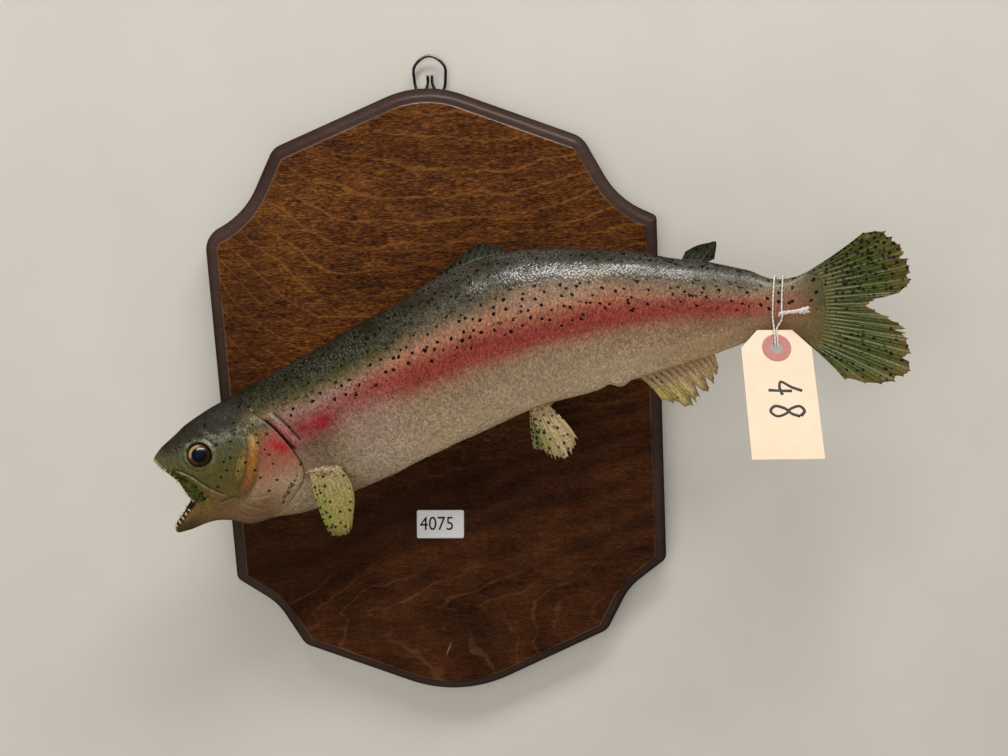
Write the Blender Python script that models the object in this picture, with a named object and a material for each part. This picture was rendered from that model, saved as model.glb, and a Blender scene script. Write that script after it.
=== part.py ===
"""Rainbow trout mounted on a shaped wooden wall plaque, with its hanger, label and tied tag.

Lengths are in millimetres while the shapes are worked out, and become metres when a mesh is made.
Row frame: the origin is the middle of the plaque's back face, +Z up, +X to the right and -Y to the
front, so the wall is the plane Y = 0. The fish shows its left side, with its head at -X.
"""
import math

import bmesh
import bpy
import numpy as np
from mathutils import Matrix, Vector

MM = 0.001
GAP = 0.3                      # clearance kept between neighbouring solids

# Plaque
BOARD_THICK = 19.0
BOARD_HALF_WIDTH = 118.5
BOARD_APEX = 168.5             # where the two top slopes would meet, before rounding
BOARD_FOOT = -170.0            # the same for the bottom slopes
BOARD_LEAN = 0.015             # the plaque is sawn slightly out of square
EDGE_STRAIGHT = 8.5            # flat part of the routed edge, next to the wall
EDGE_STEP = 1.5                # small fillet between the moulding and the face
EDGE_WIDTH = 7.0               # how far the moulding runs in from the outline
ARC_STEPS = 5                  # points in each rounded corner of the plaque
COVE_STEPS = 3                 # facets in the moulding's hollow

# Recess for the hanger, cut into the back
RECESS_HALF = 12.0
RECESS_DEPTH = 4.2
RECESS_LOW = 128.0
HANGER_X = 1.0
WIRE_R = 0.75
PLATE_HALF = 9.0
PLATE_THICK = 0.9
SCREWS_AT = (135.5, 145.0)     # heights of the plate's two screws
SCREW_HEAD = ((0.0, 0.0), (2.9, 0.0), (2.9, 0.35), (2.2, 0.9), (1.0, 1.15), (0.0, 1.2))
SCREW_SIDES = 12

# Label stuck on the plaque
LABEL_CENTRE = (-4.0, -65.5)
LABEL_SIZE = (25.4, 15.8)
LABEL_THICK = 0.3
LABEL_TURN = math.radians(-2.6)

# Fish: lengths along the backbone are measured from the snout
BODY_END = 343.0               # where the fleshy tail base stops and the tail rays begin
CUTS = (125.0, 205.0, 250.0)   # cuts between the lengths of the trunk
SIDES = 24                     # facets round the body
ROUND = 2.2                    # exponent of the body's oval section
EYE_AT = (24.1, 0.7)
EYE_R = 5.9
EYE_DEEP = 3.5                 # half thickness of the lens-shaped eye
EYE_PROUD = 1.8                # how far the eye stands out of the cheek
TOOTH_R = 0.55
TOOTH_LONG = 2.3

# Tag and string
WRIST = 325.0                  # place of the string along the backbone
STRING_R = 0.45
STRING_OUT = STRING_R + GAP + 0.28     # from the skin to the middle of the string
STRING_POINTS = 60
KNOT_R = 1.4
TAIL_LONG = 15.0
CARD_SIZE = (34.0, 66.0)
CARD_THICK = 0.6
CARD_CLIP = 8.5
CARD_LEAN = math.radians(33.0)
HOLE_R = 3.0
PATCH_R = 7.0
HOLE_BELOW_TOP = 9.5


# ---------------------------------------------------------------- curves and frames

class Curve:
    """Smooth curve through stations (x, value), with slopes taken from the neighbours."""

    def __init__(self, *stations):
        self.x = np.array([s[0] for s in stations], float)
        self.y = np.array([s[1:] for s in stations], float)
        self.slope = np.gradient(self.y, self.x, axis=0)

    def __call__(self, x):
        x = np.asarray(x, float)
        i = np.clip(np.searchsorted(self.x, x) - 1, 0, len(self.x) - 2)
        width = self.x[i + 1] - self.x[i]
        inside = np.clip(x, self.x[0], self.x[-1])
        t = ((inside - self.x[i]) / width)[..., None]
        w = width[..., None]
        value = ((1 + 2 * t) * (1 - t) ** 2 * self.y[i] + t * (1 - t) ** 2 * w * self.slope[i]
                 + t * t * (3 - 2 * t) * self.y[i + 1] + t * t * (t - 1) * w * self.slope[i + 1])
        end = np.where((x < self.x[0])[..., None], self.slope[0], self.slope[-1])
        value = value + end * (x - inside)[..., None]
        return value[..., 0] if value.shape[-1] == 1 else value


BACKBONE = Curve((0, -142.9, -68.0, -12.1), (47, -97.5, -58.5, -4.6), (94, -53.9, -49.6, 10.5),
                 (141, -10.2, -43.2, 26.8), (188, 34.9, -41.2, 39.7), (235, 80.9, -43.2, 48.9),
                 (282, 127.0, -51.3, 52.4), (329, 171.3, -66.7, 52.0), (376, 215.6, -80.4, 51.9))
# Height of the back and depth of the belly, measured from the backbone line
BACK = Curve((0, -0.5), (1.6, 1.3), (5.3, 5.0), (10, 8.1), (16, 11.9), (22, 15.4), (32, 19.2), (42, 21.8),
             (53, 23.8), (85, 26.7), (120, 30.7), (147, 34.4), (166, 38.8), (185, 41.2), (200, 40.6),
             (216, 37.9), (235, 33.2), (259, 28.2), (277, 23.7), (298, 20.0), (311, 17.0), (323, 13.6),
             (331, 14.2), (343, 19.2))
BELLY = Curve((0, 38.3), (12, 38.4), (18, 37.0), (24, 36.7), (31, 38.4), (37, 42.2), (48, 43.2),
              (60, 46.4), (90, 47.2), (140, 45.6), (170, 43.4), (190, 40.6), (224, 39.4), (250, 36.2),
              (272, 31.0), (295, 24.7), (311, 18.3), (323, 13.9), (331, 14.7), (343, 21.6))
WIDEST = Curve((0, -14.0), (20, -13.0), (50, -11.0), (85, -8.0), (140, -5.0), (200, -1.0), (343, -1.0))
HALF_WIDTH = Curve((1.6, 3.6), (5, 7.0), (10, 9.3), (17, 11.4), (24, 13.0), (35, 15.6), (50, 18.4),
                   (62, 20.0), (85, 21.8), (110, 23.4), (140, 24.4), (180, 24.4), (215, 22.0),
                   (250, 17.6), (285, 12.6), (310, 9.2), (325, 7.2), (343, 3.4))
# Along the girth angle (0 at the side, 90 at the back, -90 at the belly): where the lips lie, and
# where the head ends at the rear edge of the gill covers
LIPS = Curve((-90, 4.6), (-60, 5.1), (-48, 8.5), (-35, 12.3), (-24, 16.9), (-11, 14.5), (5, 11.6),
             (20, 7.8), (38, 4.5), (60, 2.6), (90, 1.6))
GILL_EDGE = Curve((-90, 44.0), (-70, 47.0), (-60, 50.2), (-50, 53.8), (-37, 58.3), (-29, 62.4), (-20, 66.2),
                  (-13, 67.2), (-6, 66.9), (4, 65.4), (18, 62.6), (28, 60.2), (37, 57.2), (48, 54.5),
                  (90, 54.0))
FLAT_SPARE = 0.05              # the fish's flattened back stays this much further off the plaque
FLAT_BEYOND = 4.0              # and the flat reaches this far past the plaque's sides
HEAD_MIDDLE = 30.0             # where the straight frame of the head is taken
GILL_CORE = 45.0               # middle of the cut between head and trunk
GILL_FLARE = 0.045             # how much the gill covers stand out, as a share of the width


def frame_at(s):
    """Origin, tangent, up and left unit vectors of the backbone at length s."""
    origin = BACKBONE(s)
    tangent = BACKBONE(np.asarray(s) + 0.5) - BACKBONE(np.asarray(s) - 0.5)
    tangent = tangent / np.linalg.norm(tangent, axis=-1, keepdims=True)
    up = np.array([0.0, 0.0, 1.0]) - tangent * tangent[..., 2:3]
    up = up / np.linalg.norm(up, axis=-1, keepdims=True)
    left = np.cross(up, tangent)
    left = left * -np.sign(left[..., 1:2])
    return origin, tangent, up, left


def body_point(s, height, side):
    """Point at length s, at a height above the backbone and a distance to the fish's left."""
    origin, _, up, left = frame_at(s)
    return origin + up * np.asarray(height)[..., None] + left * np.asarray(side)[..., None]


def section(s, angle, flare=0.0):
    """Height and side distance of the skin at length s and girth angle in degrees."""
    turn = np.radians(angle)
    rise = np.sign(np.sin(turn)) * np.abs(np.sin(turn)) ** (2 / ROUND)
    reach = np.sign(np.cos(turn)) * np.abs(np.cos(turn)) ** (2 / ROUND)
    middle = WIDEST(s)
    height = middle + rise * np.where(rise > 0, BACK(s) - middle, BELLY(s) + middle)
    return height, reach * HALF_WIDTH(s) * (1 + flare)


def against_board(points):
    """Flatten whatever would sink into the plaque's face."""
    points = np.array(points)
    face = -BOARD_THICK - GAP - FLAT_SPARE
    over = np.abs(points[..., 0]) < BOARD_HALF_WIDTH + FLAT_BEYOND
    points[..., 1] = np.where(over, np.minimum(points[..., 1], face), points[..., 1])
    return points


def skin_point(s, angle, flare=0.0):
    height, side = section(s, angle, flare)
    return against_board(body_point(s, height, side))


def fold(angle):
    """Girth angle mirrored to the left half, -90 to 90."""
    angle = (np.asarray(angle) + 180) % 360 - 180
    return np.where(np.abs(angle) > 90, np.sign(angle) * 180 - angle, angle)


ANGLES = np.arange(SIDES) * 360.0 / SIDES + 90.0


# ---------------------------------------------------------------- making objects

def finish(name, bm, material, smooth=True):
    bmesh.ops.remove_doubles(bm, verts=bm.verts, dist=1e-6)
    bmesh.ops.recalc_face_normals(bm, faces=bm.faces)
    mesh = bpy.data.meshes.new(name)
    bm.to_mesh(mesh)
    bm.free()
    if smooth:
        mesh.shade_smooth()
        mesh.set_sharp_from_angle(angle=math.radians(40))
    mesh.materials.append(material)
    obj = bpy.data.objects.new(name, mesh)
    PIECES.objects.link(obj)
    return obj


def loft(name, rings, material, smooth=True, inward=False):
    """Solid through closed rings of equal count; a ring of one point is a tip.

    inward turns the diagonals round, so that a cut surface lofted from its middle outwards has
    the same facets as its neighbour's, which is lofted from the skin inwards.
    """
    bm = bmesh.new()
    rows = [[bm.verts.new(np.asarray(p) * MM) for p in ring] for ring in rings]
    for a, b in zip(rows[:-1], rows[1:]):
        count = max(len(a), len(b))
        for k in range(count):
            here, after = a[k % len(a)], a[(k + 1) % len(a)]
            there, beyond = b[k % len(b)], b[(k + 1) % len(b)]
            if inward:
                triangles = ((here, after, there), (after, beyond, there))
            else:
                triangles = ((here, after, beyond), (here, beyond, there))
            for triangle in triangles:
                if len(set(triangle)) == 3:
                    bm.faces.new(triangle)
    for end in (rows[0], rows[-1]):
        if len(end) > 1:
            bm.faces.new(end)
    return finish(name, bm, material, smooth)


def plate(name, middle, half, material):
    """Solid fin: a grid of mid-surface points, thickened by half on both sides."""
    across = np.gradient(middle, axis=0)
    along = np.gradient(middle, axis=1)
    normal = np.cross(across, along)
    normal = normal / np.linalg.norm(normal, axis=-1, keepdims=True)
    front = middle + normal * half[..., None]
    back = middle - normal * half[..., None]
    count = middle.shape[1]
    rings = [np.concatenate([f, b[::-1]]) for f, b in zip(front, back)]
    bm = bmesh.new()
    rows = [[bm.verts.new(p * MM) for p in ring] for ring in rings]
    size = 2 * count
    for a, b in zip(rows[:-1], rows[1:]):
        for k in range(size):
            bm.faces.new((a[k], a[(k + 1) % size], b[(k + 1) % size], b[k]))
    for end in (rows[0], rows[-1]):
        for k in range(count - 1):
            bm.faces.new((end[k], end[k + 1], end[size - 2 - k], end[size - 1 - k]))
    return finish(name, bm, material)


def turned(name, profile, middle, material):
    """Solid turned about the axis that points to the front, from (radius, rise) points."""
    bm = bmesh.new()
    centre = Vector(middle) * MM
    verts = [bm.verts.new(centre + Vector((radius, rise, 0.0)) * MM) for radius, rise in profile]
    edges = [bm.edges.new(pair) for pair in zip(verts[:-1], verts[1:])]
    bmesh.ops.spin(bm, geom=verts + edges, cent=centre, axis=(0.0, 1.0, 0.0), angle=2 * math.pi,
                   steps=SCREW_SIDES)
    return finish(name, bm, material)


def prism(name, outline, low, high, place):
    """Cutter: an outline of (length, height) points, reaching from side low to side high."""
    rings = [[place(s, h, side) for s, h in outline] for side in (low, high)]
    cutter = loft(name, rings, MATERIALS["cutter"], smooth=False)
    PIECES.objects.unlink(cutter)
    CUTTERS.objects.link(cutter)
    cutter.hide_render = True
    cutter.display_type = "WIRE"
    return cutter


def boolean(obj, cutter, operation):
    """Apply one exact Boolean to the object's mesh."""
    modifier = obj.modifiers.new(operation.title(), "BOOLEAN")
    modifier.object = cutter
    modifier.operation = operation
    depsgraph = bpy.context.evaluated_depsgraph_get()
    mesh = bpy.data.meshes.new_from_object(obj.evaluated_get(depsgraph))
    obj.modifiers.clear()
    mesh.name = obj.name
    obj.data = mesh


def copy_of(obj, name):
    other = bpy.data.objects.new(name, obj.data.copy())
    PIECES.objects.link(other)
    return other


def wire(name, points, radius, material, resolution=2):
    curve = bpy.data.curves.new(name, "CURVE")
    curve.dimensions = "3D"
    curve.bevel_depth = radius * MM
    curve.bevel_resolution = resolution
    curve.use_fill_caps = True
    spline = curve.splines.new("POLY")
    spline.points.add(len(points) - 1)
    for point, xyz in zip(spline.points, points):
        point.co = (*(np.asarray(xyz) * MM), 1.0)
    curve.materials.append(material)
    obj = bpy.data.objects.new(name, curve)
    PIECES.objects.link(obj)
    return obj


def new_material(name, colour, roughness, metallic=0.0):
    mat = bpy.data.materials.new(name)
    mat.use_nodes = True
    shader = mat.node_tree.nodes["Principled BSDF"]
    shader.inputs["Base Color"].default_value = (*colour, 1.0)
    shader.inputs["Roughness"].default_value = roughness
    shader.inputs["Metallic"].default_value = metallic
    return mat


# ---------------------------------------------------------------- the plaque

def corner_list(inset):
    """Plaque corners (x, z, rounding), clockwise from the top, moved in by inset."""
    side = BOARD_HALF_WIDTH
    right = [(0.0, BOARD_APEX, 55.0), (81.0, 137.0, 14.0), (98.5, 104.5, 45.0), (side, 95.0, 3.0),
             (side, -93.5, 5.0), (97.5, -109.0, 32.0), (84.5, -133.5, 9.0), (0.0, BOARD_FOOT, 70.0)]
    left = [(-x, z, r) for x, z, r in right[-2:0:-1]]
    left[3:] = [(-side, 93.5, 13.0), (-97.0, 104.0, 45.0), (-79.5, 137.0, 10.0)]
    corners = [(x - BOARD_LEAN * z, z, r) for x, z, r in right + left]
    moved = []
    for k, (x, z, r) in enumerate(corners):
        before = np.subtract((x, z), corners[k - 1][:2])
        after = np.subtract(corners[(k + 1) % len(corners)][:2], (x, z))
        before, after = before / np.linalg.norm(before), after / np.linalg.norm(after)
        inward = [np.array([d[1], -d[0]]) for d in (before, after)]
        bisector = (inward[0] + inward[1]) / (1 + inward[0] @ inward[1])
        outer = before[0] * after[1] - before[1] * after[0] < 0
        rounding = max(r - inset, 0.6) if outer else r + inset
        moved.append((np.array([x, z]) + bisector * inset, before, after, rounding))
    return moved


def board_outline(inset):
    points = []
    for corner, before, after, r in corner_list(inset):
        turn = math.acos(np.clip(before @ after, -1, 1))
        reach = r * math.tan(turn / 2)
        start = corner - before * reach
        side = np.array([-before[1], before[0]])
        side = side * np.sign(side @ after)
        for step in range(ARC_STEPS):
            a = turn * step / (ARC_STEPS - 1)
            points.append(start + before * r * math.sin(a) + side * r * (1 - math.cos(a)))
    return points


def make_board():
    cove = BOARD_THICK - EDGE_STRAIGHT - EDGE_STEP
    profile = [(0.6, 0.0), (0.0, 0.6), (0.0, EDGE_STRAIGHT)]
    for step in range(1, COVE_STEPS + 1):
        a = math.radians(90 * step / COVE_STEPS)
        profile.append(((EDGE_WIDTH - 1.2) * (1 - math.cos(a)), EDGE_STRAIGHT + cove * math.sin(a)))
    profile += [(EDGE_WIDTH, EDGE_STRAIGHT + cove), (EDGE_WIDTH, BOARD_THICK)]
    rings = [[(x, -depth, z) for x, z in board_outline(inset)] for inset, depth in profile]
    board = loft("board", rings, MATERIALS["wood"], smooth=False)
    low, high = RECESS_LOW, BOARD_APEX + 10
    recess = [(HANGER_X - RECESS_HALF, low), (HANGER_X + RECESS_HALF, low),
              (HANGER_X + RECESS_HALF, high), (HANGER_X - RECESS_HALF, high)]
    cutter = prism("recess_cutter", recess, -RECESS_DEPTH, 5.0, lambda x, z, y: (x, y, z))
    boolean(board, cutter, "DIFFERENCE")


def make_hanger():
    """Bent wire ring, the joggled plate that clamps it, and the plate's two screws."""
    half_ring = Curve((0, 1.1, 171.2), (0.15, 1.3, 166.5), (0.3, 4.0, 161.5), (0.42, 7.0, 164.0),
                      (0.58, 8.1, 170.0), (0.72, 7.9, 175.3), (0.77, 6.9, 176.9), (0.92, 2.4, 180.4),
                      (1, 0.0, 180.9))
    right = half_ring(np.linspace(0, 1, 13))
    path = [(HANGER_X + x, z) for x, z in right] + [(HANGER_X - x, z) for x, z in right[-2::-1]]
    wire_y = -RECESS_DEPTH + GAP + WIRE_R
    wire("hanger_ring", [(x, wire_y, z) for x, z in path], WIRE_R, MATERIALS["steel"])

    floor = -RECESS_DEPTH + GAP
    raised = wire_y + WIRE_R + GAP
    profile = [(131.0, floor), (150.0, floor), (155.0, raised), (163.5, raised),
               (163.5, raised + PLATE_THICK), (154.6, raised + PLATE_THICK),
               (149.6, floor + PLATE_THICK), (131.0, floor + PLATE_THICK)]
    rings = [[(HANGER_X + x, y, z) for z, y in profile] for x in (-PLATE_HALF, PLATE_HALF)]
    loft("hanger_plate", rings, MATERIALS["steel"], smooth=False)
    seat = floor + PLATE_THICK + GAP
    for number, z in enumerate(SCREWS_AT, 1):
        turned("hanger_screw_%d" % number, SCREW_HEAD, (HANGER_X, seat, z), MATERIALS["steel"])


def make_label():
    bm = bmesh.new()
    middle = Vector((LABEL_CENTRE[0], -BOARD_THICK - GAP - LABEL_THICK / 2, LABEL_CENTRE[1])) * MM
    sizes = Matrix.Diagonal((LABEL_SIZE[0] * MM, LABEL_THICK * MM, LABEL_SIZE[1] * MM, 1.0))
    place = Matrix.Translation(middle) @ Matrix.Rotation(-LABEL_TURN, 4, "Y") @ sizes
    bmesh.ops.create_cube(bm, size=1.0, matrix=place)
    finish("label", bm, MATERIALS["label"], smooth=False)


# ---------------------------------------------------------------- the fish

def cap_ring(angles, share, shift):
    """Ring of the curved cut between head and trunk, at a share of the way out to the skin."""
    edge = GILL_EDGE(fold(angles))
    height, side = section(edge + shift, angles)
    middle = WIDEST(GILL_CORE)
    s = GILL_CORE + (edge - GILL_CORE) * share ** 2 + shift
    return against_board(body_point(s, middle + (height - middle) * share, side * share))


def make_head():
    angles = ANGLES
    half = fold(angles)
    start, edge = LIPS(half), GILL_EDGE(half)
    height, side = section(start, angles)
    throat, deep = np.array([34.0, -15.0]), (0.0, 0.12, 0.35, 0.65)
    rings = [[body_point(throat[0], throat[1], 0.0)]]
    for share in deep[:0:-1]:
        shrink = 0.88 * (1 - share ** 2)
        rings.append(body_point(start + (throat[0] - start) * share,
                                throat[1] + (height - throat[1]) * shrink, side * shrink))
    rings.append(body_point(start + 0.25, throat[1] + (height - throat[1]) * 0.93, side * 0.9))
    flare_side = np.clip(1 - (half / 36.0) ** 2, 0, 1)
    for share in np.linspace(0, 1, 14) ** 1.15:
        s = start + (edge - start) * share
        flare = GILL_FLARE * flare_side * np.clip((s - 44) / 14, 0, 1)
        rings.append(skin_point(s, angles, flare))
    for share in (0.7, 0.35):
        rings.append(cap_ring(angles, share, 0.0))
    rings.append([cap_ring(angles[:1], 0.0, 0.0)[0]])
    head = loft("head", rings, MATERIALS["head"])

    add_teeth(head)
    jaw_side = [(17.2, -23.7), (31.5, -20.8), (35.0, -33.0), (35.5, -60.0), (-12.0, -60.0), (-12.0, -17.0)]
    jaw_open = [(17.2, -23.7 + GAP), (31.8, -20.8 + GAP), (35.3, -33.0), (35.8, -60.3), (-12.3, -60.3),
                (-12.3, -17.0 + GAP)]
    low, high = -37.0, 11.0
    front = Curve((low, 44.0), (-30, 41.0), (-22, 40.2), (-9.5, 44.6), (1.0, 48.6), (high, 50.5))
    levels = np.linspace(low, high, 7)
    gill = [(float(front(z)), z) for z in levels] + [(80.0, high), (80.0, low)]
    gill_open = [(float(front(low)) - GAP, low - GAP)] + [(float(front(z)) - GAP, z) for z in levels]
    gill_open += [(float(front(high)) - GAP, high + GAP), (80.3, high + GAP), (80.3, low - GAP)]
    carve(head, "lower_jaw", jaw_side, jaw_open, (-40, 40), (-41, 41), MATERIALS["jaw"])
    carve(head, "gill_cover_left", gill, gill_open, (12.5, 40), (12.5 - GAP, 41), MATERIALS["gill"])
    carve(head, "gill_cover_right", gill, gill_open, (-40, -12.5), (-41, GAP - 12.5), MATERIALS["gill"])
    make_eyes(head)


def head_place(s, height, side):
    """Point in the straight frame of the head, for cutters that cross it squarely."""
    origin, tangent, up, left = frame_at(HEAD_MIDDLE)
    return origin + tangent * (s - HEAD_MIDDLE) + up * height + left * side


def carve(body, name, outline, opening, sides, open_sides, material):
    """Split a named piece off the body, leaving a clearance all round it."""
    piece = copy_of(body, name)
    boolean(piece, prism(name + "_keep", outline, *sides, head_place), "INTERSECT")
    boolean(body, prism(name + "_gap", opening, *open_sides, head_place), "DIFFERENCE")
    piece.data.materials.clear()
    piece.data.materials.append(material)


def add_teeth(head):
    """Small cones round both lips, leaning into the mouth, joined to the head."""
    bm = bmesh.new()
    angles = (-75, -60, -50, -42, -35, -29, -14, -3, 8, 19, 32, 48, 67)
    for angle in angles:
        for side in (1, -1):
            here = angle if side > 0 else 180 - angle
            s = LIPS(angle)
            height, reach = section(s, np.array(float(here)))
            root = body_point(s + 0.5, height * 0.97 - 0.4, reach * 0.93)
            lean = -1.0 if angle > -24 else 1.0
            aim = body_point(s - 0.9, height * 0.97 - 0.4 + lean * TOOTH_LONG, reach * 0.88) - root
            aim = aim / np.linalg.norm(aim)
            across = np.cross(aim, (0.3, 1.0, 0.2))
            across = across / np.linalg.norm(across)
            other = np.cross(aim, across)
            base = [bm.verts.new((root - aim * 0.4 + TOOTH_R * (across * math.cos(t) + other * math.sin(t)))
                                 * MM) for t in np.radians((0, 90, 180, 270))]
            tip = bm.verts.new((root + aim * TOOTH_LONG) * MM)
            bm.faces.new(base)
            for k in range(4):
                bm.faces.new((base[k], base[(k + 1) % 4], tip))
    teeth = finish("teeth_join", bm, MATERIALS["tooth"])
    boolean(head, teeth, "UNION")
    bpy.data.objects.remove(teeth)


def make_eyes(head):
    """Two balls set in round sockets, each standing a little proud of the cheek."""
    s, height = EYE_AT
    angle = math.degrees(math.asin(((height - WIDEST(s)) / (BACK(s) - WIDEST(s))) ** (ROUND / 2)))
    for name, here in (("eye_left", angle), ("eye_right", 180 - angle)):
        surface = skin_point(np.array(s), np.array(here))
        _, _, up, left = frame_at(s)
        out = left * (1 if name == "eye_left" else -1) * 0.96 + up * 0.28
        out = out / np.linalg.norm(out)
        centre = surface - out * (EYE_DEEP - EYE_PROUD)
        turn = Vector(out).to_track_quat("Z", "Y").to_matrix().to_4x4()
        for spare, label in ((GAP, "socket"), (0.0, name)):
            bm = bmesh.new()
            bmesh.ops.create_uvsphere(bm, u_segments=14, v_segments=8, radius=1.0)
            sizes = Matrix.Diagonal((EYE_R + spare, EYE_R + spare, EYE_DEEP + spare, 1.0))
            for vert in bm.verts:
                vert.co = Vector(centre * MM) + turn.to_3x3() @ (sizes.to_3x3() @ vert.co) * MM
            ball = finish(label, bm, MATERIALS["eye"])
            if label == "socket":
                boolean(head, ball, "DIFFERENCE")
                bpy.data.objects.remove(ball)


def make_trunk():
    """Trunk in three lengths and the tail stem, parted by thin cuts."""
    angles = ANGLES
    edge = GILL_EDGE(fold(angles))
    names = ("trunk_front", "trunk_middle", "trunk_rear", "tail_stem")
    ends = CUTS + (BODY_END,)
    steps = (8, 9, 5, 12)
    low = None
    for name, high, count in zip(names, ends, steps):
        if low is None:
            rings = [[cap_ring(angles[:1], 0.0, GAP)[0]]]
            rings += [cap_ring(angles, share, GAP) for share in (0.35, 0.7)]
            rings += [skin_point(edge + GAP + (high - edge - GAP) * t, angles)
                      for t in np.linspace(0, 1, count)]
        else:
            rings = [skin_point(np.full(SIDES, s), angles) for s in np.linspace(low, high, count)]
        loft(name, rings, MATERIALS["skin"], inward=low is None)
        low = high + GAP


# ---------------------------------------------------------------- the fins

def ray_fin(name, base, tip, rays, rows, bulge, notch, root_half, material):
    """Fin from a base line to a tip line, both curves of (share, length, height, side).

    bulge bends the rays backwards, one value for each end of the fin, and notch is how far the
    web between two rays stops short of their tips.
    """
    share = np.linspace(0, 1, 2 * rays - 1)[:, None]
    along = np.linspace(0, 1, rows)[None, :]
    root, end = base(share[:, 0])[:, None, :], tip(share[:, 0])[:, None, :]
    web = (np.arange(2 * rays - 1) % 2 * notch)[:, None]
    length = np.linalg.norm(end - root, axis=-1)
    reach = along * (1 - web / length)
    body = root + (end - root) * reach[..., None]
    arch = 4 * reach * (1 - reach) * (bulge[0] * (1 - share) + bulge[1] * share)
    middle = body_point(body[..., 0] + arch, body[..., 1], body[..., 2])
    half = root_half + (0.28 - root_half) * along ** 0.7 + 0 * share
    return plate(name, middle, half, material)


def make_fins():
    fins = MATERIALS["fin"]
    green = MATERIALS["fin_green"]
    ray_fin("dorsal_fin",
            Curve((0, 163.0, 39.3, 0), (0.4, 176.0, 41.5, 0), (0.7, 187.0, 42.3, 0), (1, 197.0, 42.0, 0)),
            Curve((0, 167.0, 41.3, 0.5), (0.35, 178.0, 45.4, 1.0), (0.6, 189.5, 48.9, 1.5),
                  (0.72, 191.5, 46.2, 1.0), (0.85, 195.0, 45.3, 0.5), (1, 199.5, 43.0, 0.5)),
            8, 3, (0.5, 0.3), 0.7, 0.8, green)
    ray_fin("adipose_fin",
            Curve((0, 278.0, 24.2, 0), (0.5, 283.0, 23.1, 0), (1, 289.0, 22.2, 0)),
            Curve((0, 280.5, 26.8, 0.5), (0.3, 285.5, 29.5, 1.5), (0.6, 291.0, 30.8, 2.0),
                  (0.85, 295.2, 30.4, 2.0), (1, 294.0, 22.6, 1.0)),
            6, 4, (0.0, 0.0), 0.0, 1.1, green)
    ray_fin("anal_fin",
            Curve((0, 251.8, -37.0, 0), (0.5, 273.0, -31.8, 0), (1, 293.0, -26.4, 0)),
            Curve((0, 264.5, -48.8, 1.0), (0.2, 279.0, -52.0, 2.5), (0.45, 287.0, -47.2, 3.0),
                  (0.7, 293.0, -41.5, 2.0), (1, 296.0, -32.5, 1.0)),
            10, 4, (1.5, 0.5), 5.5, 1.0, fins)
    pectoral_base = Curve((0, 69.0, -25.0, 20.6), (0.5, 76.0, -26.3, 21.0), (1, 83.5, -28.0, 21.2))
    ray_fin("pectoral_fin_left", pectoral_base,
            Curve((0, 66.0, -53.5, 26.5), (0.3, 68.0, -56.8, 28.0), (0.75, 75.5, -57.2, 27.5),
                  (1, 78.5, -52.5, 26.0)),
            7, 4, (-1.0, 4.0), 0.5, 1.0, fins)
    ray_fin("pectoral_fin_right",
            Curve((0, 69.0, -24.0, -20.8), (0.5, 76.0, -24.4, -21.4), (1, 83.5, -25.0, -21.9)),
            Curve((0, 88.0, -43.0, -20.0), (0.4, 94.0, -43.5, -21.2), (0.75, 99.0, -41.0, -22.2),
                  (1, 101.0, -36.0, -23.4)),
            7, 4, (-1.0, 1.0), 0.5, 1.0, fins)
    for side, name in ((1, "pelvic_fin_left"), (-1, "pelvic_fin_right")):
        shift = 0.0 if side > 0 else -7.0
        ray_fin(name,
                Curve((0, 190.0, -41.6, side * 5.5), (1, 198.0, -41.6, side * 5.5)),
                Curve((0, 191.5 + shift, -65.0, side * 11.0), (0.3, 197.0 + shift, -68.0, side * 12.5),
                      (0.7, 206.0 + shift, -66.0, side * 12.5), (1, 211.0 + shift, -60.0, side * 11.0)),
                7, 4, (-1.0, 1.5), 1.6, 0.9, fins)
    root = BODY_END + GAP
    ray_fin("caudal_fin",
            Curve((0, root, 19.0, 0), (0.5, root, -1.0, 0), (1, root, -21.4, 0)),
            Curve((0, 365.0, 36.0, 4.0), (0.08, 376.5, 36.2, 4.0), (0.16, 383.0, 28.0, 3.0),
                  (0.27, 387.3, 17.8, 1.5), (0.38, 384.5, 7.5, 0.0), (0.47, 369.0, 0.6, 0.0),
                  (0.56, 382.0, -7.5, 0.0), (0.7, 387.0, -17.5, 1.0), (0.86, 385.5, -34.5, 3.0),
                  (0.94, 373.0, -38.2, 3.5), (1, 358.0, -36.6, 3.0)),
            15, 4, (0.6, 0.6), 2.6, 1.6, green)


# ---------------------------------------------------------------- tag and string

def card_frame():
    """Middle of the card's hole, its down direction and its front direction."""
    _, _, up, left = frame_at(WRIST)
    below = float(BELLY(WRIST))
    hole = body_point(np.array(WRIST + 0.4), np.array(-below - 4.9), np.array(13.4))
    down = np.array([-0.035, -math.sin(CARD_LEAN), -math.cos(CARD_LEAN)])
    down = down / np.linalg.norm(down)
    front = np.array([0.0, -math.cos(CARD_LEAN), math.sin(CARD_LEAN)])
    front = front - down * (front @ down)
    front = front / np.linalg.norm(front)
    return hole, down, front, np.cross(front, down)


def circle(radius, count):
    return [(radius * math.cos(a), radius * math.sin(a)) for a in np.arange(count) * 2 * math.pi / count]


def ring_plate(name, outer, inner, low, high, material):
    """Flat plate with a hole: outer and inner outlines of equal count, in the card's plane."""
    hole, down, front, across = card_frame()

    def place(point, depth):
        return hole + across * point[0] + down * point[1] + front * depth

    bm = bmesh.new()
    rows = [[bm.verts.new(place(p, depth) * MM) for p in outline]
            for outline, depth in ((outer, low), (outer, high), (inner, high), (inner, low))]
    count = len(outer)
    for k in range(4):
        a, b = rows[k], rows[(k + 1) % 4]
        for i in range(count):
            bm.faces.new((a[i], a[(i + 1) % count], b[(i + 1) % count], b[i]))
    return finish(name, bm, material, smooth=False)


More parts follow.
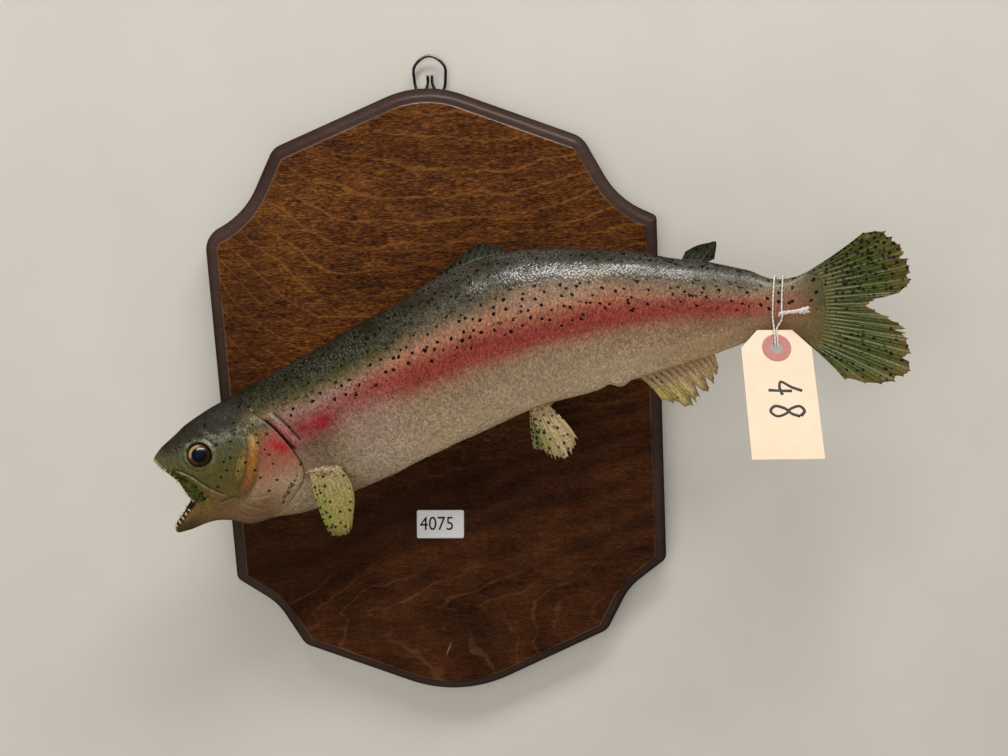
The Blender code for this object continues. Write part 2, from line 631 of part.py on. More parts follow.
def card_outline(count):
    """Card with two clipped corners, as points met by evenly turned rays from the hole."""
    half, top = CARD_SIZE[0] / 2, -HOLE_BELOW_TOP
    bottom = CARD_SIZE[1] - HOLE_BELOW_TOP
    corners = [(-half + CARD_CLIP, top), (half - CARD_CLIP, top), (half, top + CARD_CLIP * 1.1),
               (half, bottom), (-half, bottom), (-half, top + CARD_CLIP * 1.1)]
    edges = list(zip(corners, corners[1:] + corners[:1]))
    turns = sorted([math.atan2(z, x) for x, z in corners]
                   + [2 * math.pi * k / count - math.pi + 0.01 for k in range(count)])
    outer, inner = [], []
    for turn in turns:
        ray = np.array([math.cos(turn), math.sin(turn)])
        best = min(t for t in (ray_hit(ray, a, b) for a, b in edges) if t is not None)
        outer.append(ray * best)
        inner.append(ray * HOLE_R)
    return outer, inner


def ray_hit(ray, a, b):
    """Distance along a ray from the hole's middle to the edge a-b, or None where it misses."""
    edge = np.subtract(b, a)
    cross = ray[0] * edge[1] - ray[1] * edge[0]
    if abs(cross) < 1e-9:
        return None
    t = (a[0] * edge[1] - a[1] * edge[0]) / cross
    u = (a[0] * ray[1] - a[1] * ray[0]) / cross
    return t if t > 0 and -1e-6 <= u <= 1 + 1e-6 else None


def around(s, angle, out):
    """Point held off the skin by out, at length s and girth angle in degrees."""
    height, side = section(np.full(3, s), angle + np.array([-2.0, 0.0, 2.0]))
    run = np.array([height[2] - height[0], side[2] - side[0]])
    run = run / np.linalg.norm(run)
    return body_point(np.array(s), height[1] - run[1] * out, side[1] + run[0] * out)


def string_route():
    """Route of the tag's string: two turns round the tail stem, each closed through the card's hole.

    It starts just above the knot, goes up the front, over the back, down behind, under the belly
    and through the hole from behind; the second turn ends just below the knot.
    """
    hole, down, front, across = card_frame()
    points = []
    for place, step, angles in ((WRIST + 2.0, 0.75, (10, 28, 50, 70, 90, 112, 140, 170, 200, 228, 250)),
                                (WRIST - 2.0, -0.75, (-14, 8, 30, 50, 70, 90, 112, 140, 170, 200, 228, 250))):
        for angle in angles:
            pull = np.clip((angle - 180) / 70.0, 0, 1) * 0.6
            points.append(around(WRIST + (place - WRIST) * (1 - pull), float(angle), STRING_OUT))
        aside = across * step
        under = (points[-1] + hole - front * 3.4 + down) / 2 - front * 0.3
        points.append(under + aside * 0.7 + np.array([0.0, 0.0, -0.8]))
        points.append(hole - front * 2.6 + down * 1.0 + aside)
        points.append(hole + down * 0.1 + aside)
        points.append(hole + front * 1.7 - down * 1.6 + aside)
        points.append(hole + front * 2.0 - down * 4.5 + aside)
        points.append(hole + front * 1.9 - down * 9.0 + aside)
    points.append(knot_place() - np.array([0.0, 0.0, KNOT_R + 1.3]))
    return points


def knot_place():
    return around(WRIST + 2.2, -7.0, STRING_OUT + KNOT_R - STRING_R)


def make_string():
    """Thin tube along the route, and the knot with the twisted ends that stand out of it."""
    route = string_route()
    share = np.concatenate([[0], np.cumsum(np.linalg.norm(np.diff(route, axis=0), axis=1))])
    smooth = Curve(*[(u, *p) for u, p in zip(share, route)])
    wire("tag_string", smooth(np.linspace(0, share[-1], STRING_POINTS)), STRING_R, MATERIALS["string"])
    start = knot_place()
    _, tangent, up, left = frame_at(WRIST)
    radius = Curve((0, 0.7), (0.06, KNOT_R), (0.14, KNOT_R), (0.22, 0.75), (0.5, 0.8), (0.8, 1.0),
                   (0.95, 0.9), (1, 0.4))
    sway = Curve((0, 0.0, 0.0), (0.4, 0.4, 0.3), (0.75, 1.0, 0.7), (1, 3.2, 1.6))
    rings = []
    for u in np.linspace(0, 1, 12):
        rise, out = sway(u)
        middle = start + tangent * (TAIL_LONG * u - 1.2) + up * rise + left * out
        rings.append([middle + radius(u) * (up * math.cos(a) + left * math.sin(a))
                      for a in np.radians(np.arange(8) * 45)])
    loft("tag_knot", rings, MATERIALS["string"])


def make_tag():
    outer, inner = card_outline(12)
    ring_plate("tag_card", outer, inner, -CARD_THICK / 2, CARD_THICK / 2, MATERIALS["card"])
    low = CARD_THICK / 2 + GAP
    ring_plate("tag_patch", circle(PATCH_R, 18), circle(HOLE_R, 18), low, low + 0.3, MATERIALS["patch"])


# ---------------------------------------------------------------- build

for obj in list(bpy.data.objects):
    bpy.data.objects.remove(obj, do_unlink=True)

PIECES = bpy.data.collections.new("mounted_trout")
CUTTERS = bpy.data.collections.new("cutters")
for group in (PIECES, CUTTERS):
    bpy.context.scene.collection.children.link(group)

MATERIALS = {
    "wood": new_material("stained_wood", (0.16, 0.065, 0.022), 0.35),
    "steel": new_material("hanger_steel", (0.42, 0.42, 0.41), 0.35, 1.0),
    "label": new_material("label_paper", (0.78, 0.78, 0.77), 0.7),
    "head": new_material("head_skin", (0.20, 0.22, 0.13), 0.35),
    "jaw": new_material("jaw_skin", (0.48, 0.36, 0.20), 0.4),
    "gill": new_material("gill_cover", (0.62, 0.25, 0.16), 0.35),
    "tooth": new_material("tooth", (0.75, 0.70, 0.55), 0.4),
    "eye": new_material("eye_glass", (0.02, 0.02, 0.03), 0.05),
    "skin": new_material("scaled_skin", (0.42, 0.33, 0.26), 0.35),
    "fin": new_material("fin_pale", (0.55, 0.50, 0.30), 0.5),
    "fin_green": new_material("fin_green", (0.14, 0.19, 0.07), 0.5),
    "card": new_material("tag_card", (0.90, 0.78, 0.60), 0.8),
    "patch": new_material("tag_patch", (0.65, 0.25, 0.27), 0.8),
    "string": new_material("tag_string", (0.82, 0.80, 0.76), 0.9),
    "cutter": new_material("cutter", (0.5, 0.5, 0.5), 0.5),
}

make_board()
make_hanger()
make_label()
make_head()
make_trunk()
make_fins()
make_tag()
make_string()
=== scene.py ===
# %% [markdown]
# # A mounted trout on its plaque
# The real object is a painted and varnished fish skin on a form, screwed to a routed board that hangs
# on a wire ring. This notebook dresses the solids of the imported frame: a skin with overlapping scales,
# rayed fins, glass eyes, stained wood, and a card tag on a cotton string. All sizes are millimetres in
# the cells and become metres when a mesh is made.

# %% Load the frame
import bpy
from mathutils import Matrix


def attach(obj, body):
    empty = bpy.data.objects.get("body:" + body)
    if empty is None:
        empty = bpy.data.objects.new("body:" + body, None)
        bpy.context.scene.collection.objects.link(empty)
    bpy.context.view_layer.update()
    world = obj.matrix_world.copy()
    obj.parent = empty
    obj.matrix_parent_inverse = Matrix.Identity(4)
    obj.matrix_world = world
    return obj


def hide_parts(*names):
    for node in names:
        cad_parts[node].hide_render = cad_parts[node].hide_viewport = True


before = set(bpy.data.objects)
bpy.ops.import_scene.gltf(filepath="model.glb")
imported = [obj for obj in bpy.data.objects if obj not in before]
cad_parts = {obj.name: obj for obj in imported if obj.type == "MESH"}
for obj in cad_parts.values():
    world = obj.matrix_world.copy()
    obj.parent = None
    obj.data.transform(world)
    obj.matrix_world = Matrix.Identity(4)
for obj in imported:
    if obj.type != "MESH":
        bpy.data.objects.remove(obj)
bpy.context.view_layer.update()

# %% Modules and the one unit
import math
from types import SimpleNamespace

import bmesh
import bpy
import numpy as np
from mathutils import Matrix, Vector, noise

MM = 0.001
RANDOM = np.random.default_rng(7)

# %% [markdown]
# ## The camera
# The camera comes first, because the free length of a cord may not spread outside its view. It stands
# about 0.65 m off, a little above the fish, and looks slightly down and to the right.

# %% Camera
CAMERA_AT = (0.016518, -0.65376, 0.131424)
LOOKS_ALONG = Vector((0.0258796, 0.9827718, -0.1830023))
CAMERA_UP = Vector((0.0417964, 0.18184, 0.9824395))
LENS = 43.58
SENSOR_WIDE = 36.0
NEAREST = 0.01                  # metres from the camera that are still drawn


def placed(name, data):
    """New object in the scene, at the origin."""
    obj = bpy.data.objects.new(name, data)
    bpy.context.scene.collection.objects.link(obj)
    return obj


def place_camera():
    camera = bpy.data.cameras.new("view")
    camera.sensor_width = SENSOR_WIDE
    camera.lens = LENS
    camera.clip_start = NEAREST
    obj = placed("view", camera)
    right = LOOKS_ALONG.cross(CAMERA_UP).normalized()
    turn = Matrix((right, CAMERA_UP, -LOOKS_ALONG)).transposed()
    obj.matrix_world = Matrix.Translation(CAMERA_AT) @ turn.to_4x4()
    bpy.context.scene.camera = obj
    return obj


camera = place_camera()
print("camera lens", round(camera.data.lens, 2), "mm")

# %% [markdown]
# ## The fish's own measure
# Every piece of the fish is placed by its distance along the backbone from the snout, its height above
# the backbone and its distance to the left. Smooth curves through a few stations give the backbone, the
# back, the belly and the width, so one change of a station moves skin, scales, fins and eyes together.

# %% Smooth curves through stations
class Curve:
    """Smooth curve through stations (x, value, ...), straight beyond its ends."""

    def __init__(self, *stations):
        self.x = np.array([s[0] for s in stations], float)
        self.y = np.array([s[1:] for s in stations], float)
        self.slope = np.gradient(self.y, self.x, axis=0)

    def __call__(self, x):
        x = np.asarray(x, float)
        i = np.clip(np.searchsorted(self.x, x) - 1, 0, len(self.x) - 2)
        width = self.x[i + 1] - self.x[i]
        inside = np.clip(x, self.x[0], self.x[-1])
        t = ((inside - self.x[i]) / width)[..., None]
        w = width[..., None]
        value = ((1 + 2 * t) * (1 - t) ** 2 * self.y[i] + t * (1 - t) ** 2 * w * self.slope[i]
                 + t * t * (3 - 2 * t) * self.y[i + 1] + t * t * (t - 1) * w * self.slope[i + 1])
        end = np.where((x < self.x[0])[..., None], self.slope[0], self.slope[-1])
        value = value + end * (x - inside)[..., None]
        return value[..., 0] if value.shape[-1] == 1 else value


BACKBONE = Curve((0, -142.9, -68.0, -12.1), (47, -97.5, -58.5, -4.6), (94, -53.9, -49.6, 10.5),
                 (141, -10.2, -43.2, 26.8), (188, 34.9, -41.2, 39.7), (235, 80.9, -43.2, 48.9),
                 (282, 127.0, -51.3, 52.4), (329, 171.3, -66.7, 52.0), (376, 215.6, -80.4, 51.9))
BACK = Curve((0, -0.5), (1.6, 1.3), (5.3, 5.0), (10, 8.1), (16, 11.9), (22, 15.4), (32, 19.2), (42, 21.8),
             (53, 23.8), (85, 26.7), (120, 30.7), (147, 34.4), (166, 38.8), (185, 41.2), (200, 40.6),
             (216, 37.9), (235, 33.2), (259, 28.2), (277, 23.7), (298, 20.0), (311, 17.0), (323, 13.6),
             (331, 14.2), (343, 19.2))
BELLY = Curve((0, 38.3), (12, 38.4), (18, 37.0), (24, 36.7), (31, 38.4), (37, 42.2), (48, 43.2),
              (60, 46.4), (90, 47.2), (140, 45.6), (170, 43.4), (190, 40.6), (224, 39.4), (250, 36.2),
              (272, 31.0), (295, 24.7), (311, 18.3), (323, 13.9), (331, 14.7), (343, 21.6))
WIDEST = Curve((0, -14.0), (20, -13.0), (50, -11.0), (85, -8.0), (140, -5.0), (200, -1.0), (343, -1.0))
HALF_WIDTH = Curve((1.6, 3.6), (5, 7.0), (10, 9.3), (17, 11.4), (24, 13.0), (35, 15.6), (50, 18.4),
                   (62, 20.0), (85, 21.8), (110, 23.4), (140, 24.4), (180, 24.4), (215, 22.0),
                   (250, 17.6), (285, 12.6), (310, 9.2), (325, 7.2), (343, 3.4))
LIPS = Curve((-90, 4.6), (-60, 5.1), (-48, 8.5), (-35, 12.3), (-24, 16.9), (-11, 14.5), (5, 11.6),
             (20, 7.8), (38, 4.5), (60, 2.6), (90, 1.6))
GILL_EDGE = Curve((-90, 44.0), (-70, 47.0), (-60, 50.2), (-50, 53.8), (-37, 58.3), (-29, 62.4),
                  (-20, 66.2), (-13, 67.2), (-6, 66.9), (4, 65.4), (18, 62.6), (28, 60.2), (37, 57.2),
                  (48, 54.5), (90, 54.0))
BODY_END = 343.0
ROUND = 2.2                     # exponent of the body's oval section
GILL_FLARE = 0.045
BOARD_THICK = 19.0
BOARD_HALF_WIDTH = 118.5
PAST_BOARD = 4.0                # the flattening ends this far past the board's edge
FISH_OFF_BOARD = 0.35           # the flattened far side keeps clear of the board's face
print("body is", BODY_END, "mm to the tail rays and", round(float(BACK(185) + BELLY(185)), 1), "mm deep")


# %% Places on and in the fish
def frame_at(s):
    """Origin, tangent, up and left unit vectors of the backbone at length s."""
    origin = BACKBONE(s)
    tangent = BACKBONE(np.asarray(s) + 0.5) - BACKBONE(np.asarray(s) - 0.5)
    tangent = tangent / np.linalg.norm(tangent, axis=-1, keepdims=True)
    up = np.array([0.0, 0.0, 1.0]) - tangent * tangent[..., 2:3]
    up = up / np.linalg.norm(up, axis=-1, keepdims=True)
    left = np.cross(up, tangent)
    left = left * -np.sign(left[..., 1:2])
    return origin, tangent, up, left


def body_point(s, height, side):
    """Point at length s, at a height above the backbone and a distance to the fish's left."""
    origin, _, up, left = frame_at(s)
    return origin + up * np.asarray(height)[..., None] + left * np.asarray(side)[..., None]


def section(s, angle, flare=0.0):
    """Height and side distance of the skin at length s and girth angle in degrees."""
    turn = np.radians(angle)
    rise = np.sign(np.sin(turn)) * np.abs(np.sin(turn)) ** (2 / ROUND)
    reach = np.sign(np.cos(turn)) * np.abs(np.cos(turn)) ** (2 / ROUND)
    middle = WIDEST(s)
    height = middle + rise * np.where(rise > 0, BACK(s) - middle, BELLY(s) + middle)
    return height, reach * HALF_WIDTH(s) * (1 + flare)


def against_board(points):
    """Flatten whatever would sink into the plaque's face."""
    points = np.array(points)
    face = -BOARD_THICK - FISH_OFF_BOARD
    over = np.abs(points[..., 0]) < BOARD_HALF_WIDTH + PAST_BOARD
    points[..., 1] = np.where(over, np.minimum(points[..., 1], face), points[..., 1])
    return points


def fold(angle):
    """Girth angle mirrored to the left half, -90 to 90."""
    angle = (np.asarray(angle) + 180) % 360 - 180
    return np.where(np.abs(angle) > 90, np.sign(angle) * 180 - angle, angle)


def step(x, low, high):
    """Smooth step from 0 below low to 1 above high."""
    t = np.clip((np.asarray(x, float) - low) / (high - low), 0, 1)
    return t * t * (3 - 2 * t)


def bump(x, width):
    """Soft hump, 1 at zero and almost 0 beyond twice its width."""
    return np.exp(-(np.asarray(x) / width) ** 2)


print("snout", body_point(1.6, 0.0, 0.0).round(1))

# %% [markdown]
# ## Meshes from grids
# Nearly every piece here is a grid of points worked out by a formula: rows one way, columns the other.
# One helper numbers the faces of such a grid, one turns the faces outwards by the sign of the volume
# they enclose, and one makes the object.

# %% Grid helpers
def quads(rows, columns, closed=False):
    """Corner numbers of a grid's faces, with the columns closed into a ring if asked."""
    r = np.arange(rows - 1)[:, None]
    c = np.arange(columns if closed else columns - 1)[None, :]
    after = (c + 1) % columns
    low, high = r * columns, (r + 1) * columns
    return np.stack([low + c, low + after, high + after, high + c], -1).reshape(-1, 4)


def volume(points, faces):
    """Signed volume that quads or triangles enclose; positive when they face outwards."""
    points = np.asarray(points, float)
    total = 0.0
    for face in faces:
        for k in range(1, len(face[0]) - 1):
            a, b, c = points[face[:, 0]], points[face[:, k]], points[face[:, k + 1]]
            total += np.einsum("ij,ij->i", a, np.cross(b, c)).sum() / 6
    return total


def new_piece(name, points, faces, materials, smooth=True):
    """Object of a closed mesh. faces is a list of arrays, one for each count of corners."""
    if volume(points, faces) < 0:
        faces = [face[:, ::-1] for face in faces]
    mesh = bpy.data.meshes.new(name)
    every = [corner for face in faces for corner in face.tolist()]
    mesh.from_pydata((np.asarray(points, float) * MM).tolist(), [], every)
    for material in materials:
        mesh.materials.append(material)
    if smooth:
        mesh.shade_smooth()
    return placed(name, mesh)


def note(obj, name, values):
    """Store a value or a vector for each point, for the materials to read."""
    values = np.ascontiguousarray(values, dtype=np.float32)
    kind = "FLOAT" if values.ndim == 1 else "FLOAT_VECTOR"
    layer = obj.data.attributes.new(name, kind, "POINT")
    layer.data.foreach_set("value" if kind == "FLOAT" else "vector", values.ravel())


def ride(obj, slot, *nodes):
    """Every piece rides on the one body and stands for its nodes; the slot is not used."""
    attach(obj, "root")
    if nodes:
        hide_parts(*nodes)
    count = sum(len(p.vertices) - 2 for p in obj.data.polygons)
    print(obj.name, count, "triangles")
    return obj


def sweep(path, radius, turns):
    """Rings of points round a path. radius is a number, or radius(share, angle) gives the section."""
    path = np.asarray(path, float)
    tangent = np.gradient(path, axis=0)
    tangent = tangent / np.linalg.norm(tangent, axis=1, keepdims=True)
    side = np.cross(tangent[0], (0.1, 0.3, 1.0))
    rings = []
    angle = np.arange(turns) * 2 * math.pi / turns
    for k, (point, ahead) in enumerate(zip(path, tangent)):
        side = side - ahead * (side @ ahead)
        side = side / np.linalg.norm(side)
        other = np.cross(ahead, side)
        r = radius(k / (len(path) - 1), angle) if callable(radius) else np.full(turns, radius)
        rings.append(point + np.outer(r * np.cos(angle), side) + np.outer(r * np.sin(angle), other))
    return np.array(rings)


def tube(name, rings, materials, smooth=True):
    """Closed piece from rings of points, with a point at the middle of each end."""
    rows, columns = rings.shape[:2]
    points = np.concatenate([rings.reshape(-1, 3), [rings[0].mean(0)], [rings[-1].mean(0)]])
    ring = np.arange(columns)
    after = (ring + 1) % columns
    top, first, last = (rows - 1) * columns, rows * columns, rows * columns + 1
    low = np.stack([after, ring, np.full(columns, first)], -1)
    high = np.stack([ring + top, after + top, np.full(columns, last)], -1)
    faces = [quads(rows, columns, True), np.concatenate([low, high])]
    return new_piece(name, points, faces, materials, smooth)


print("a grid of 3 by 4 points has", len(quads(3, 4)), "faces")

# %% [markdown]
# ## Finishes as expressions
# A finish is a network of small sums. Written as nodes by hand it is hard to read, so one class wraps a
# socket and lets Python's own operators add the Math nodes. Every other node comes from its one method.

# %% The socket class
class Wire:
    """An output socket of a node tree that can be reckoned with like a number."""

    def __init__(self, tree, socket=None):
        self.tree = tree
        self.socket = socket

    def node(self, kind, settings=None, inputs=None, output=0):
        """Add a node: its settings are set first, then the values or links of its sockets."""
        made = self.tree.nodes.new(kind)
        for key, value in (settings or {}).items():
            if key == "stops":
                set_stops(made.color_ramp, value)
            else:
                setattr(made, key, value)
        for key, value in (inputs or {}).items():
            if isinstance(value, Wire):
                self.tree.links.new(value.socket, made.inputs[key])
            else:
                made.inputs[key].default_value = value
        return Wire(self.tree, made.outputs[output])

    def math(self, operation, *values):
        return self.node("ShaderNodeMath", {"operation": operation}, dict(enumerate(values)))

    def __add__(self, other):
        return self.math("ADD", self, other)

    __radd__ = __add__

    def __sub__(self, other):
        return self.math("SUBTRACT", self, other)

    def __rsub__(self, other):
        return self.math("SUBTRACT", other, self)

    def __mul__(self, other):
        return self.math("MULTIPLY", self, other)

    __rmul__ = __mul__

    def __truediv__(self, other):
        return self.math("DIVIDE", self, other)

    def __pow__(self, other):
        return self.math("POWER", self, other)

    def sine(self):
        return self.math("SINE", self)

    def above_zero(self):
        """The value, or 0 where it is negative."""
        return self.math("MAXIMUM", self, 0.0)

    def step(self, low, high):
        """0 below low to 1 above high, eased; low above high turns it round."""
        inputs = {"Value": self, "From Min": low, "From Max": high}
        return self.node("ShaderNodeMapRange", {"interpolation_type": "SMOOTHSTEP"}, inputs)

    def attribute(self, name, output="Fac"):
        return self.node("ShaderNodeAttribute", {"attribute_name": name}, None, output)

    def parts(self):
        """The three parts of a vector."""
        return [self.node("ShaderNodeSeparateXYZ", None, {0: self}, k) for k in range(3)]

    def vector(self, x, y, z):
        return self.node("ShaderNodeCombineXYZ", None, {0: x, 1: y, 2: z})

    def stretch(self, x, y, z):
        """This vector with each of its parts multiplied."""
        return self.node("ShaderNodeVectorMath", {"operation": "MULTIPLY"}, {0: self, 1: (x, y, z)})

    def noise(self, scale, detail=3.0, roughness=0.55, distortion=0.0):
        inputs = {"Vector": self, "Scale": scale, "Detail": detail, "Roughness": roughness,
                  "Distortion": distortion}
        return self.node("ShaderNodeTexNoise", None, inputs)

    def cells(self, scale, output="Distance"):
        """Scattered cells in the plane of the first two parts: the distance to each one's middle."""
        settings, inputs = {"voronoi_dimensions": "2D"}, {"Vector": self, "Scale": scale}
        return self.node("ShaderNodeTexVoronoi", settings, inputs, output)

    def ramp(self, *stops):
        """Colour by value, from stops of (value, red, green, blue)."""
        return self.node("ShaderNodeValToRGB", {"stops": stops}, {0: self})

    def mix(self, factor, other, how="MIX"):
        """This colour mixed by a factor with another, which is a wire or a paint chip."""
        if isinstance(other, tuple):
            other = tint(*other)
        settings = {"data_type": "RGBA", "blend_type": how, "clamp_factor": True}
        return self.node("ShaderNodeMix", settings, {0: factor, 6: self, 7: other}, 2)

    def coats(self, *coats):
        """This colour under coats of paint, each (factor, colour) or (factor, colour, how)."""
        painted = self
        for coat in coats:
            painted = painted.mix(*coat)
        return painted


def set_stops(color_ramp, stops):
    """Give a colour ramp its stops (value, red, green, blue)."""
    while len(color_ramp.elements) < len(stops):
        color_ramp.elements.new(1.0)
    for element, (value, *chip) in zip(color_ramp.elements, stops):
        element.position = value
        element.color = tint(*chip)


def tint(red, green, blue):
    """A paint chip in the usual 0 to 255 scale, as the linear colour that shaders take."""
    shares = (red / 255, green / 255, blue / 255)
    return (*(v / 12.92 if v < 0.0404 else ((v + 0.055) / 1.055) ** 2.4 for v in shares), 1.0)


def finish_of(name, paint, **constants):
    """Material: what varies comes from paint(start), what doesn't is set on the shader's sockets."""
    material = bpy.data.materials.new(name)
    material.use_nodes = True
    tree = material.node_tree
    shader = tree.nodes["Principled BSDF"]
    for socket, value in constants.items():
        shader.inputs[socket.replace("_", " ")].default_value = value
    for socket, wire in paint(Wire(tree)).items():
        tree.links.new(wire.socket, shader.inputs[socket])
    return material


def place_of(start):
    """Object coordinates, in metres."""
    return start.node("ShaderNodeTexCoord", None, None, "Object")


def bumped(start, height, distance, strength):
    """Normal of a surface with a fine relief: height 0 to 1 stands for distance in metres."""
    inputs = {"Height": height, "Distance": distance, "Strength": strength}
    return start.node("ShaderNodeBump", None, inputs)


def speckled(scale, detail, roughness, stops, relief=None):
    """Paint of one noise: a ramp of chips and, where asked, a relief of (distance, strength)."""
    def paint(start):
        cloud = place_of(start).noise(scale, detail, roughness)
        sockets = {"Base Color": cloud.ramp(*stops)}
        if relief:
            sockets["Normal"] = bumped(start, cloud, *relief)
        return sockets
    return paint


print("a mid grey chip is", [round(v, 3) for v in tint(128, 128, 128)])

# %% [markdown]
# ## The tag's string
# A cotton string of 0.9 mm goes twice round the thin tail stem and each turn is closed through the
# card's hole. It is a real twisted cord, so its section is two rounded strands that turn along the way.
# The knot holds it on the near side of the tail and its ends stand out of the knot to the right.

# %% Route of the string
WRIST = 325.0
STRING_R = 0.45
STRING_OUT = STRING_R + 0.58    # from the skin to the middle of the string
STRAND_LAY = 2.1                # one turn of the strands round each other
KNOT_R = 1.4
KNOT_TAIL = 15.0                # length of the string's free ends
STRING_POINTS = 520
CARD_LEAN = math.radians(33.0)
HOLE_BELOW_STEM = 4.9
HOLE_LEFT = 13.4                # from the backbone to the card's hole, to the fish's left


def card_frame():
    """Middle of the card's hole, its down direction, its front direction and across."""
    below = float(BELLY(WRIST))
    hole = body_point(WRIST + 0.4, -below - HOLE_BELOW_STEM, HOLE_LEFT)
    down = np.array([-0.035, -math.sin(CARD_LEAN), -math.cos(CARD_LEAN)])
    down = down / np.linalg.norm(down)
    front = np.array([0.0, -math.cos(CARD_LEAN), math.sin(CARD_LEAN)])
    front = front - down * (front @ down)
    front = front / np.linalg.norm(front)
    return hole, down, front, np.cross(front, down)


def around(s, angle, out):
    """Point held off the skin by out, at length s and girth angle in degrees."""
    height, side = section(np.full(3, s), angle + np.array([-2.0, 0.0, 2.0]))
    run = np.array([height[2] - height[0], side[2] - side[0]])
    run = run / np.linalg.norm(run)
    return body_point(s, height[1] - run[1] * out, side[1] + run[0] * out)


def knot_place():
    return around(WRIST + 2.2, -7.0, STRING_OUT + KNOT_R - STRING_R)


def string_route():
    """Points of the string: two turns, each up the front, over the back and through the card's hole."""
    hole, down, front, across = card_frame()
    points = []
    over = (50, 70, 90, 112, 140, 170, 200, 228, 250)
    for place, stride, upwards in ((WRIST + 2.0, -0.6, (10, 28)), (WRIST - 2.0, 0.6, (-14, 8, 30))):
        for angle in upwards + over:
            pull = np.clip((angle - 180) / 70.0, 0, 1) * 0.6
            points.append(around(WRIST + (place - WRIST) * (1 - pull), float(angle), STRING_OUT))
        aside = across * stride
        behind = hole - front * 1.7 - down * 2.2 + aside
        points.append((points[-1] + behind) / 2 - front * 0.5)
        points.append(behind)
        for out, up_card in ((-0.2, 0.9), (1.25, 3.2), (1.7, 5.5), (1.9, 9.0)):
            points.append(hole + front * out - down * up_card + aside)
    points.append(knot_place() - np.array([0.0, 0.0, KNOT_R + 1.3]))
    return np.array(points)


def length_of(points):
    return float(np.linalg.norm(np.diff(points, axis=0), axis=1).sum())


def smooth_path(points, count):
    """Evenly read smooth curve through a few points."""
    share = np.concatenate([[0], np.cumsum(np.linalg.norm(np.diff(points, axis=0), axis=1))])
    return Curve(*[(u, *p) for u, p in zip(share, points)])(np.linspace(0, share[-1], count))


string_path = smooth_path(string_route(), STRING_POINTS)
print("string is", round(length_of(string_path), 1), "mm long")


# %% Cotton string and its knot
def cotton(start):
    along = place_of(start)
    fuzz = along.noise(2600, 4, 0.7)
    wool = along.noise(700, 2)
    shade = fuzz.ramp((0.3, 186, 180, 170), (0.7, 240, 238, 232))
    shade = shade.mix(wool.step(0.5, 0.75) * 0.35, (196, 188, 176))
    return {"Base Color": shade, "Normal": bumped(start, fuzz, 0.00012, 0.7)}


COTTON = finish_of("cotton", cotton, Roughness=0.95)


def make_string():
    """Two strands laid round each other."""
    long = length_of(string_path)

    def radius(share, angle):
        lay = share * long / STRAND_LAY * 2 * math.pi
        return STRING_R * (0.8 + 0.2 * np.cos(2 * (angle - lay / 2)))

    return tube("tag_string_cotton", sweep(string_path, radius, 10), [COTTON])


def make_knot():
    """Overhand knot: wraps of string, a short lead up to the turn, and two twisted frayed ends."""
    centre = knot_place()
    _, tangent, up, left = frame_at(WRIST)
    rings = []
    share = np.linspace(0, 1, 90)
    for turn, lift in ((0.0, 0.0), (math.pi, 0.25), (1.6, 0.5)):
        angle = share * 2 * math.pi * 3.4 + turn
        grow = 0.42 + 0.25 * bump(share - 0.8, 0.2) + 0.12 * np.sin(share * 23 + lift * 9)
        spread = (0.5 + 0.75 * step(share, 0.5, 1.0)) * (0.9 + 0.5 * np.sin(share * 17 + turn))
        run = centre + np.outer(share * (KNOT_TAIL - 2.2 - 1.5 * lift) + 0.2, tangent)
        run = run + np.outer(0.4 + share * 2.6 + spread * np.sin(angle), up)
        run = run + np.outer(0.4 + share * 1.1 + spread * 0.7 * np.cos(angle), left)

        def frayed(u, a, grow=grow):
            return np.interp(u, share, grow) * (1 + 0.15 * np.cos(3 * a + 40 * u))

        rings.append(sweep(run, frayed, 9))
    wraps = np.linspace(0, 2.6 * 2 * math.pi, 70)
    coil = centre + np.outer(np.cos(wraps) * 0.9, up) + np.outer(np.sin(wraps) * 0.8 + 0.1, left)
    coil = coil + np.outer(np.sin(wraps * 0.5) * 0.9 - 0.5, tangent)
    rings.append(sweep(coil, lambda u, a: 0.45 + 0.05 * np.cos(2 * a - 60 * u), 9))
    for end in (string_path[0], string_path[-1]):
        lead = smooth_path(np.array([centre, (centre + end) / 2 + left * 0.3, end]), 16)
        rings.append(sweep(lead, STRING_R * 0.95, 9))
    parts = [tube("knot_part", ring, [COTTON]) for ring in rings]
    return join(parts, "tag_knot_tails")


def join(parts, name):
    """One object from several that share the world's origin."""
    bm = bmesh.new()
    for part in parts:
        bm.from_mesh(part.data)
    mesh = bpy.data.meshes.new(name)
    bm.to_mesh(mesh)
    bm.free()
    for material in parts[0].data.materials:
        mesh.materials.append(material)
    for part in parts:
        bpy.data.objects.remove(part)
    return placed(name, mesh)


string = ride(make_string(), "tag_string", "tag_string")
knot = ride(make_knot(), "tag_string", "tag_knot")

# %% [markdown]
# ## The skin
# The mount's skin is one closed surface, so it is one grid of rings from the throat, out over the lips,
# along the head to the free edge of the gill covers, in under that edge, out again on the trunk and on
# to the tail. The head's plates, creases and eye rims are raised or sunk along the surface's normal by
# short formulas of the distance to a few lines drawn on the head.

